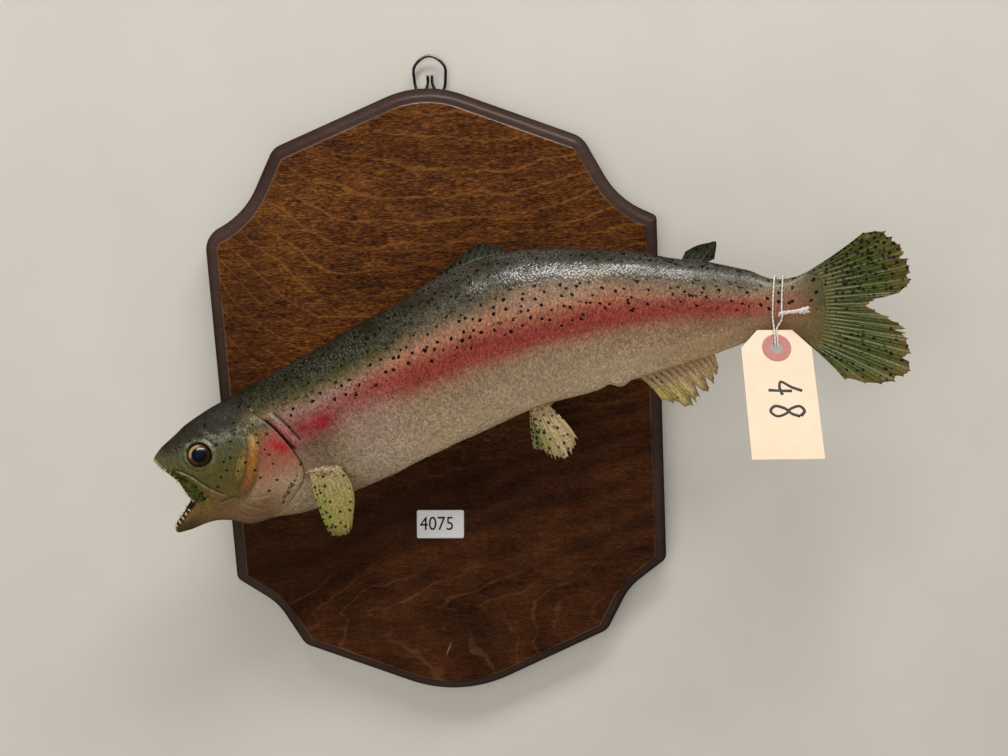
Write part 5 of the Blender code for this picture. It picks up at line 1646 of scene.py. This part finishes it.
def board_outline(inset):
    points = []
    for corner, before, after, r in board_corners(inset):
        turn = math.acos(np.clip(before @ after, -1, 1))
        start = corner - before * r * math.tan(turn / 2)
        side = np.array([-before[1], before[0]])
        side = side * np.sign(side @ after)
        for a in np.linspace(0, turn, ARC_POINTS):
            points.append(start + before * r * math.sin(a) + side * r * (1 - math.cos(a)))
    return np.array(points)


def board_profile():
    """Moulding as (inset, depth from the wall) with softly rounded edges."""
    cove = BOARD_THICK - EDGE_STRAIGHT - EDGE_STEP
    profile = [(0.9, 0.0), (0.3, 0.12), (0.05, 0.5), (0.0, 1.0), (0.0, EDGE_STRAIGHT - 0.6),
               (0.15, EDGE_STRAIGHT)]
    for a in np.radians(np.linspace(8, 90, 12)):
        profile.append(((EDGE_WIDTH - 1.4) * (1 - math.cos(a)) + 0.15, EDGE_STRAIGHT + cove * math.sin(a)))
    low = EDGE_STRAIGHT + cove
    profile += [(EDGE_WIDTH - 0.35, low), (EDGE_WIDTH - 0.1, low + 0.1), (EDGE_WIDTH, low + 0.3)]
    for a in np.radians((0, 22, 45, 68, 90)):
        profile.append((EDGE_WIDTH + 1.0 - 1.0 * math.cos(a), BOARD_THICK - 1.0 + 1.0 * math.sin(a)))
    profile.append((EDGE_WIDTH + 1.6, BOARD_THICK))
    return profile


print("moulding has", len(board_profile()), "lines and the outline", len(board_outline(0.0)), "points")


# %% Stained wood
WHOLE_TURN = 6.283


def growth_lines(level, sharp):
    """Thin lines where a level passes each whole number."""
    return (level * WHOLE_TURN).sine().step(sharp, 1.0)


def stained_wood(start):
    """Fibres, pores, clouds and growth lines, darker below, with a painted shadow under the fish, wear and a
    painted highlight along the face's edge, dust and a scratch; raw behind.

    The growth lines are flat bows on the upper part and arches lying on their side on the lower part.
    """
    place = place_of(start)
    x, _, z = place.parts()
    edge_line, moulding, back = start.attribute("board", "Vector").parts()
    low = (z + (place.noise(9, 2) - 0.5) * 0.03 - x * 0.3).step(0.0, -0.05)
    broad = place.stretch(7, 7, 20).noise(1.0, 3, 0.6)
    blot = place.noise(24, 3, 0.6)
    fibre = place.stretch(120, 500, 620).noise(1.0, 4, 0.75)
    fine = place.stretch(330, 900, 1700).noise(1.0, 3, 0.75)
    pore = place.stretch(150, 900, 1300).noise(1.0, 2, 0.7)
    drift = place.stretch(16, 6, 20).noise(1.0, 3, 0.5)
    west = (-0.055 - x).above_zero()
    bow = (z - (x - 0.005) * (x - 0.005) * 1.9 - west * west * 9) * 74 + (drift - 0.5) * 2.6
    upper_lines = growth_lines(bow, 0.9) * (broad + fibre * 0.5).step(0.55, 0.85)
    off = z + 0.114 + (drift - 0.5) * 0.01
    above, below = off.above_zero(), (0 - off).above_zero()
    loops = x * 40 - above * (above * 500 + 85) - below * 34 + (drift - 0.5) * 4.4 + (blot - 0.5) * 0.7
    lower_lines = growth_lines(loops, 0.86) * z.step(-0.08, -0.105) * (broad + fibre * 0.5).step(0.5, 0.8)
    bands = (loops * 3.1).sine() * 0.06 * low
    streaks = ((fibre - 0.5) * 1.25 + (fine - 0.5) * 2.1) * (1.0 - low * 0.45)
    tone = streaks + (broad - 0.5) * 0.7 + (blot - 0.5) * 0.55 + bands + 0.5
    upper = tone.ramp((0.1, 34, 15, 6), (0.35, 60, 30, 11), (0.55, 86, 46, 16),
                      (0.75, 110, 64, 22), (0.98, 142, 92, 38))
    upper = upper.mix(upper_lines * (fine.step(0.3, 0.6) * 0.4 + 0.2), (136, 88, 38))
    lower = tone.ramp((0.15, 32, 14, 6), (0.38, 53, 27, 11), (0.55, 69, 36, 14),
                      (0.72, 86, 47, 18), (0.95, 110, 64, 28))
    lower = lower.mix(lower_lines * 0.35, (116, 72, 44))
    wood = upper.mix(low, lower)
    # painted shadow of the fish: the lower wood darker below a line that follows the fish's belly
    shade = (z - x * 0.55 + (blot - 0.5) * 0.03 + 0.035)
    dark_side = (x + 0.075).step(0.0, -0.03) * blot.step(0.42, 0.62)
    # the face's edge line: wear, and a painted highlight along it
    worn = edge_line * (blot + fibre * 0.4).step(0.5, 0.8)
    reach = ((x - 0.012) * (x - 0.012) + (z + 0.110) * (z + 0.110) * 2.0) ** 0.5
    down = z + 0.138
    aside = (x + 0.003) - down * 0.4
    scratch = (aside * aside * 1000000).step(0.25, 0.02) * down.step(-0.004, 0.0) * down.step(0.006, 0.002)
    raw = (fibre * 0.6 + broad * 0.4).ramp((0.35, 146, 112, 76), (0.65, 188, 154, 112))
    rough = blot * 0.16 + fibre * 0.14 + 0.26 + back * 0.3
    relief = fibre * 0.55 + pore * 0.45
    wood = wood.coats(
        # painted shadow under the fish
        (shade.step(-0.045, -0.01) * low * 0.5, (30, 13, 4)),
        (dark_side * 0.45, (44, 21, 10)),
        (pore.step(0.55, 0.7) * 0.5, (24, 11, 5)),
        (moulding * 0.86, broad.ramp((0.3, 50, 39, 36), (0.7, 72, 58, 54))),
        # wear and painted highlight along the face's edge
        (worn * 0.4, (150, 116, 84)),
        (reach.step(0.006, 0.002) * blot.step(0.4, 0.65) * 0.3 * (1 - back), (160, 150, 138)),
        (scratch * 0.6, (150, 120, 92)),
        (back, raw))
    return {"Base Color": wood, "Roughness": rough, "Coat Weight": (edge_line * 0.9 + 0.1) * (1 - back),
            "Normal": bumped(start, relief, 0.0002, 0.5)}


WOOD = finish_of("stained_wood_varnish", stained_wood, Coat_Roughness=0.12, Specular_IOR_Level=0.22)


def make_plaque():
    rings = [[(x, -depth, z) for x, z in board_outline(inset)] for inset, depth in board_profile()]
    plaque = tube("plaque", np.array(rings), [WOOD], smooth=False)
    bevel_shade(plaque)
    return cut_recess(plaque)


CRISP_FROM = math.radians(38)


def bevel_shade(obj):
    """Smooth shading that keeps steps and rims crisp."""
    obj.data.shade_smooth()
    obj.data.set_sharp_from_angle(angle=CRISP_FROM)


RECESS = (1.0, 12.0, 4.2, 128.0)        # hanger's recess: middle x, half width, depth and low end


def cut_recess(plaque):
    middle, half, deep, low = RECESS
    corners = [(middle + sx * half, y, z) for y in (-deep, 5.0) for sx, z in
               ((-1, low), (1, low), (1, BOARD_APEX + 10), (-1, BOARD_APEX + 10))]
    faces = np.array([(0, 1, 2, 3), (7, 6, 5, 4), (0, 4, 5, 1), (1, 5, 6, 2), (2, 6, 7, 3), (3, 7, 4, 0)])
    cutter = new_piece("recess", corners, [faces], [WOOD], smooth=False)
    modifier = plaque.modifiers.new("recess", "BOOLEAN")
    modifier.operation, modifier.object, modifier.solver = "DIFFERENCE", cutter, "EXACT"
    graph = bpy.context.evaluated_depsgraph_get()
    mesh = bpy.data.meshes.new_from_object(plaque.evaluated_get(graph), depsgraph=graph)
    plaque.modifiers.clear()
    plaque.data = mesh
    bpy.data.objects.remove(cutter)
    return plaque


def note_board(plaque):
    """Edge line, worn and with a painted highlight, moulding and raw back, told by each point's depth."""
    points = np.empty(len(plaque.data.vertices) * 3)
    plaque.data.vertices.foreach_get("co", points)
    depth = -points.reshape(-1, 3)[:, 1] / MM
    face = (depth > BOARD_THICK - 0.2).astype(float)
    rim = np.abs(depth - (BOARD_THICK - 0.3)) < 0.28
    raw = (depth < 0.05) | (np.abs(depth - RECESS[2]) < 0.01)
    note(plaque, "board", np.stack([rim, 1 - face, raw], -1))


plaque = make_plaque()
note_board(plaque)
ride(plaque, "wood", "board")

# %% [markdown]
# ## The hanger
# A bent wire ring hangs the plaque on a screw in the wall. A joggled steel plate clamps it in the recess.
# Plate and screws keep their solids and only take a finish; the ring is swept anew so that it is round.

# %% Hanger
def worn_steel(start):
    place = place_of(start)
    cloud = place.noise(420, 3, 0.6)
    fine = place.noise(2400, 3, 0.7)
    steel = cloud.ramp((0.3, 96, 94, 90), (0.55, 150, 148, 143), (0.8, 182, 180, 174))
    steel = steel.mix(fine.step(0.62, 0.75) * 0.5, (84, 62, 44))
    return {"Base Color": steel, "Roughness": cloud * 0.3 + 0.22, "Normal": bumped(start, fine, 0.00008, 0.5)}


STEEL = finish_of("worn_steel", worn_steel, Metallic=1.0)
for part in ("hanger_plate", "hanger_screw_1", "hanger_screw_2"):
    for slot in bpy.data.objects[part].material_slots:
        slot.material = STEEL
RING_HALF = Curve((0, 1.1, 171.2), (0.15, 1.3, 166.5), (0.3, 4.0, 161.5), (0.42, 7.0, 164.0),
                  (0.58, 8.1, 170.0), (0.72, 7.9, 175.3), (0.77, 6.9, 176.9), (0.92, 2.4, 180.4),
                  (1, 0.0, 180.9))
WIRE_R = 0.74
WIRE_GAP = 0.3                  # between the recess's floor and the wire
WIRE_MIDDLE = 0.75              # and from there to the wire's middle
half_x, half_z = RING_HALF(np.linspace(0, 1, 60)).T
wire_y = np.full_like(half_x, -RECESS[2] + WIRE_GAP + WIRE_MIDDLE)
right_half = np.stack([RECESS[0] + half_x, wire_y, half_z], -1)
left_half = right_half[-2::-1] * (-1, 1, 1) + (2 * RECESS[0], 0, 0)
ring_rings = sweep(np.concatenate([right_half, left_half]), WIRE_R, 14)
ride(tube("ring_wire", ring_rings, [STEEL]), "steel", "hanger_ring")

# %% [markdown]
# ## Label and tag
# A small paper sticker carries a plain number, and so does the card tag, written with a marker. Printed
# figures come from a font turned into a thin mesh. Written ones are strokes: a flat ribbon swept along a
# few smooth curves, a little wider where the pen rests.

# %% Paper finishes
def manila_card(start):
    place = place_of(start)
    fibre = place.stretch(1, 1, 0.4).noise(1500, 4, 0.65)
    cloud = place.noise(90, 3)
    card = cloud.ramp((0.3, 240, 214, 189), (0.7, 245, 221, 197))
    card = card.mix(fibre.step(0.6, 0.75) * 0.18, (222, 194, 154))
    return {"Base Color": card, "Normal": bumped(start, fibre, 0.00012, 0.5)}


sticker_paper = speckled(900, 3, 0.6, ((0.3, 209, 209, 211), (0.7, 225, 225, 227)), (0.0001, 0.4))
dusty_patch = speckled(500, 3, 0.6, ((0.3, 180, 116, 114), (0.7, 194, 136, 130)), (0.0002, 0.6))
black_ink = speckled(1400, 2, 0.55, ((0.35, 20, 20, 26), (0.75, 46, 46, 58)))
STICKER = finish_of("sticker_paper", sticker_paper, Roughness=0.55)
CARD = finish_of("manila_card", manila_card, Roughness=0.8)
PATCH_PAPER = finish_of("dusty_patch", dusty_patch, Roughness=0.75)
INK = finish_of("black_ink", black_ink, Roughness=0.5)
print("papers", STICKER.name, CARD.name, PATCH_PAPER.name)

# %% The sticker with its printed number
LABEL_AT = (-4.0, -65.5)
LABEL_SIZE = (25.4, 15.8)
LABEL_TURN = math.radians(-2.6)
FIGURE_SIZE = 10.8
CORNER_ROUND = 0.9
PAPER_OFF = 0.16                # from the board's face to the middle of the paper
PAPER_CURL = 0.08
FIGURES_OFF = 0.31
FIGURE_NARROW = 0.86
FIGURES_LEFT = 1.9


def printed(text, size, extrude):
    """Mesh of printed figures, flat in x and z, facing the viewer, centred on the origin, in millimetres."""
    curve = bpy.data.curves.new("figures", "FONT")
    curve.body = text
    curve.size = size
    curve.extrude = extrude
    curve.align_x, curve.align_y = "CENTER", "CENTER"
    curve.resolution_u = 4
    obj = placed("figures", curve)
    mesh = bpy.data.meshes.new_from_object(obj.evaluated_get(bpy.context.evaluated_depsgraph_get()))
    bpy.data.objects.remove(obj)
    mesh.transform(Matrix.Rotation(math.radians(90), 4, "X"))
    return mesh


def make_sticker():
    """Paper rectangle with rounded corners and a lifted right end, and its figures as a thin relief."""
    half_x, half_z = LABEL_SIZE[0] / 2, LABEL_SIZE[1] / 2
    x = np.linspace(-half_x, half_x, 30)[None, :]
    z = np.linspace(-half_z, half_z, 20)[:, None]
    near_end, near_top = [np.clip((np.abs(v) - half + CORNER_ROUND) / CORNER_ROUND, 0, 1) ** 2
                          for v, half in ((x, half_x), (z, half_z))]
    corner = CORNER_ROUND * near_end * near_top
    px, pz = x - np.sign(x) * corner * 0.35, z - np.sign(z) * corner * 0.35
    y = -BOARD_THICK - PAPER_OFF - PAPER_CURL * ((x + half_x) / LABEL_SIZE[0]) ** 6 - 0.02 * np.cos(z * 0.9)
    sheet = two_faced("sticker_paper", np.stack([px, y, pz], -1), np.full(px.shape, 0.1), STICKER)
    figures = printed("4075", FIGURE_SIZE, 0.03)
    for vert in figures.vertices:
        x, y, z = vert.co
        vert.co = Vector((x * FIGURE_NARROW - FIGURES_LEFT, y - BOARD_THICK - FIGURES_OFF, z))
    figures.transform(Matrix.Scale(MM, 4))
    figures.materials.clear()
    sticker = two_materials(sheet, placed("figures", figures), INK)
    at = Matrix.Translation((LABEL_AT[0] * MM, 0, LABEL_AT[1] * MM))
    sticker.data.transform(at @ Matrix.Rotation(-LABEL_TURN, 4, "Y"))
    return sticker


def two_materials(base, extra, material):
    """Join a second mesh to a piece, with a material of its own."""
    first = len(base.data.polygons)
    base.data.materials.append(material)
    bm = bmesh.new()
    bm.from_mesh(base.data)
    bm.from_mesh(extra.data)
    bm.to_mesh(base.data)
    bm.free()
    for polygon in base.data.polygons[first:]:
        polygon.material_index = len(base.data.materials) - 1
        polygon.use_smooth = False
    bpy.data.objects.remove(extra)
    return base


ride(make_sticker(), "label_paper", "label")

# %% The card tag
CARD_SIZE = (34.0, 66.0)
CARD_HALF = CARD_SIZE[0] / 2
CARD_THICK = 0.55
EDGE_SPACING = 1.2              # of the points along the card's edge
CARD_CLIP = (8.5, 9.35)         # what the clipped corners take of the top and of each side
HOLE_R = 3.0
PATCH_R = 7.0
PATCH_THICK = 0.3
HOLE_BELOW_TOP = 9.5


def on_card(x, down, lift):
    """Point of the card's plane; the card bows a little both ways."""
    hole, below, front, across = card_frame()
    x, down, lift = np.broadcast_arrays(x, down, lift)
    bow = 0.35 * (x / CARD_HALF) ** 2 - 0.6 * np.sin(np.clip(down, 0, 60) / 60 * math.pi) * 0.4
    lift = lift + bow * step(down, 4, 20) * 0.5
    return hole + x[..., None] * across + down[..., None] * below + lift[..., None] * front


def flat_ring(name, outer, inner, rings, low, high, material, curl=0.0):
    """Flat ring between two outlines of equal count, closed, with rounded edges."""
    grid = []
    for t in np.linspace(0, 1, rings):
        line = inner + (outer - inner) * t
        soft = 0.12 * (bump(t, 0.02) + bump(1 - t, 0.02))
        grid.append((line, low + soft, high - soft + curl * t ** 2))
    front = [on_card(line[:, 0], line[:, 1], top) for line, _, top in grid]
    back = [on_card(line[:, 0], line[:, 1], bottom) for line, bottom, _ in grid]
    loop = np.array(front + back[::-1] + front[:1])
    rows, columns = loop.shape[0] - 1, loop.shape[1]
    faces = quads(rows + 1, columns, True) % (rows * columns)
    return new_piece(name, loop[:-1].reshape(-1, 3), [faces], [material], smooth=False)


def card_outline():
    """The card's outer edge, and the hole's edge with as many points; the hole is the origin."""
    top = -HOLE_BELOW_TOP
    right = np.array([(CARD_HALF - CARD_CLIP[0], top), (CARD_HALF, top + CARD_CLIP[1]),
                      (CARD_HALF, top + CARD_SIZE[1])])
    left = right * (-1, 1)
    corners = np.concatenate([left[:1], right, left[:0:-1]])
    points = []
    for a, b in zip(corners, np.roll(corners, -1, axis=0)):
        n = max(2, int(np.linalg.norm(b - a) / EDGE_SPACING))
        points.extend(a + (b - a) * t for t in np.arange(n) / n)
    outer = np.array(points)
    angle = np.arctan2(outer[:, 1], outer[:, 0])
    inner = np.stack([np.cos(angle), np.sin(angle)], -1) * HOLE_R
    worn = np.array([noise.noise(Vector((p[0] * 0.3, p[1] * 0.3, 2.0))) for p in outer])[:, None]
    outer = outer * (1 - 0.004 * np.abs(worn))
    return outer, inner


card = flat_ring("manila_tag", *card_outline(), 16, -CARD_THICK / 2, CARD_THICK / 2, CARD)
turns = np.linspace(0, 2 * math.pi, 73)[:-1]
unit = np.stack([np.cos(turns), np.sin(turns)], -1)
patch_low = CARD_THICK / 2 + 0.02
patch = flat_ring("tag_ring_patch", unit * PATCH_R, unit * HOLE_R, 8, patch_low, patch_low + PATCH_THICK,
                   PATCH_PAPER, 0.1)
for piece in (card, patch):
    bevel_shade(piece)

# %% The number written on the card
FIGURE_HEIGHT = 16.0
FIGURE_WIDE = 0.54
FIGURE_STEP = 0.7
PEN_HALF = 0.66
STROKE_POINTS = 48
STROKE_ROWS = 7
STROKES = {
    "4": (((0.62, 0.0), (0.4, 0.3), (0.08, 0.62), (0.3, 0.66), (0.85, 0.6)),
          ((0.62, 0.3), (0.6, 0.65), (0.56, 1.0))),
    "8": (((0.8, 0.12), (0.5, 0.0), (0.22, 0.14), (0.35, 0.38), (0.66, 0.56), (0.8, 0.8), (0.5, 1.0),
           (0.2, 0.84), (0.34, 0.58), (0.68, 0.36), (0.82, 0.14)),),
}


def written(text, at):
    """Marker strokes on the card, read with the head turned to the right."""
    parts = []
    for place, figure in enumerate(text):
        for stroke in STROKES[figure]:
            run = smooth_path(np.array(stroke), STROKE_POINTS)
            read_x = (run[:, 0] * FIGURE_WIDE + place * FIGURE_STEP) * FIGURE_HEIGHT
            line = np.stack([at[0] - run[:, 1] * FIGURE_HEIGHT, at[1] + read_x], -1)
            share = np.linspace(0, 1, STROKE_POINTS)
            wide = PEN_HALF + 0.08 * (bump(share, 0.08) + bump(1 - share, 0.06))
            wide = wide + 0.05 * np.sin(share * 9 + place)
            ahead = np.gradient(line, axis=0)
            ahead = ahead / np.linalg.norm(ahead, axis=1, keepdims=True)
            side = np.stack([-ahead[:, 1], ahead[:, 0]], -1)
            rows = []
            for k in np.linspace(-1, 1, STROKE_ROWS):
                p = line + side * (wide * k)[:, None]
                rows.append(on_card(p[:, 0], p[:, 1], CARD_THICK / 2 + 0.05 - 0.03 * k * k))
            half = np.full((STROKE_ROWS, STROKE_POINTS), 0.02)
            parts.append(two_faced("stroke", np.array(rows), half, INK))
    return join(parts, "marker_number")


number = written("48", (10.0, 17.0))
ride(card, "tag_card", "tag_card")
ride(patch, "tag_patch", "tag_patch")
ride(number, "tag_card")
tuple(string_path[0] * MM)
[tuple(p * MM) for p in string_path]
print("string declared,", round(length_of(string_path), 1), "mm")

# %% [markdown]
# ## Stage and light
# A plain pale wall stands behind the plaque and a pale floor below. The wall shows only from its front,
# so that the plaque's back can be looked at too.

# %% Stage
pale_wall = speckled(14, 2, 0.55, ((0.2, 205, 202, 195), (0.8, 211, 208, 202)))
WALL = finish_of("pale_wall", pale_wall, Roughness=0.85)


def see_through_behind(material):
    """Show a backdrop's front only."""
    tree = material.node_tree
    start = Wire(tree)
    back = start.node("ShaderNodeNewGeometry", None, None, "Backfacing")
    clear = start.node("ShaderNodeBsdfTransparent")
    surface = Wire(tree, tree.nodes["Principled BSDF"].outputs[0])
    both = start.node("ShaderNodeMixShader", None, {0: back, 1: surface, 2: clear})
    tree.links.new(both.socket, tree.nodes["Material Output"].inputs["Surface"])


see_through_behind(WALL)


def make_backdrop(name, corners, faces):
    """Stage piece in metres, with the wall's finish."""
    mesh = bpy.data.meshes.new(name)
    mesh.from_pydata(corners, [], faces)
    mesh.materials.append(WALL)
    obj = placed(name, mesh)
    return obj


WALL_Y = 0.0008                 # the wall's face, just behind the board's back
WALL_GROWTH = 30.0              # the wall's outer edge is the opening's, this many times larger
OPENING = (0.098, 0.118, -0.012)        # half width, half height and height of the middle
OPENING_SIDES = 48
FLOOR_Z = -0.75
FLOOR_HALF = 3


def wall_with_opening():
    """Wall round an opening that the board hides, so that daylight reaches the board's back."""
    count = OPENING_SIDES
    turn = np.arange(count) * 2 * math.pi / count
    rim = np.stack([np.cos(turn) * OPENING[0], np.sin(turn) * OPENING[1]], -1)
    loops = [(x * grow, WALL_Y, z * grow + OPENING[2]) for grow in (1.0, WALL_GROWTH) for x, z in rim]
    faces = [(k + count, (k + 1) % count + count, (k + 1) % count, k) for k in range(count)]
    return make_backdrop("wall", loops, faces)


wall = wall_with_opening()
floor_corners = [(x * FLOOR_HALF, y * FLOOR_HALF, FLOOR_Z) for x, y in ((-1, -1), (1, -1), (1, 1), (-1, 1))]
floor = make_backdrop("floor", floor_corners, [(0, 1, 2, 3)])
print("wall faces", tuple(round(v, 2) for v in wall.data.polygons[0].normal))


# %% Light
LIT_PLACE = Vector((0.03, -0.03, 0.0))  # where both lamps point, in metres


def soft_light(name, place, size, power, colour):
    lamp = bpy.data.lights.new(name, "AREA")
    lamp.shape = "RECTANGLE"
    lamp.size, lamp.size_y = size
    lamp.energy = power
    lamp.color = colour
    obj = placed(name, lamp)
    obj.location = place
    obj.rotation_euler = (LIT_PLACE - obj.location).to_track_quat("-Z", "Y").to_euler()
    return obj


soft_light("ceiling", (0.28, -0.88, 1.53), (1.5, 0.34), 23.0, (1.0, 0.97, 0.93))
fill = soft_light("room", (-0.5, -1.8, 0.35), (1.6, 1.4), 14.0, (1.0, 0.96, 0.9))
fill.visible_glossy = False
for sheet in (wall, floor):
    sheet.visible_glossy = False
world = bpy.data.worlds.new("room_air")
world.use_nodes = True
world.node_tree.nodes["Background"].inputs["Color"].default_value = (1.0, 0.98, 0.95, 1.0)
world.node_tree.nodes["Background"].inputs["Strength"].default_value = 0.27
world.cycles_visibility.glossy = False
bpy.context.scene.world = world
bpy.context.scene.view_settings.view_transform = "Standard"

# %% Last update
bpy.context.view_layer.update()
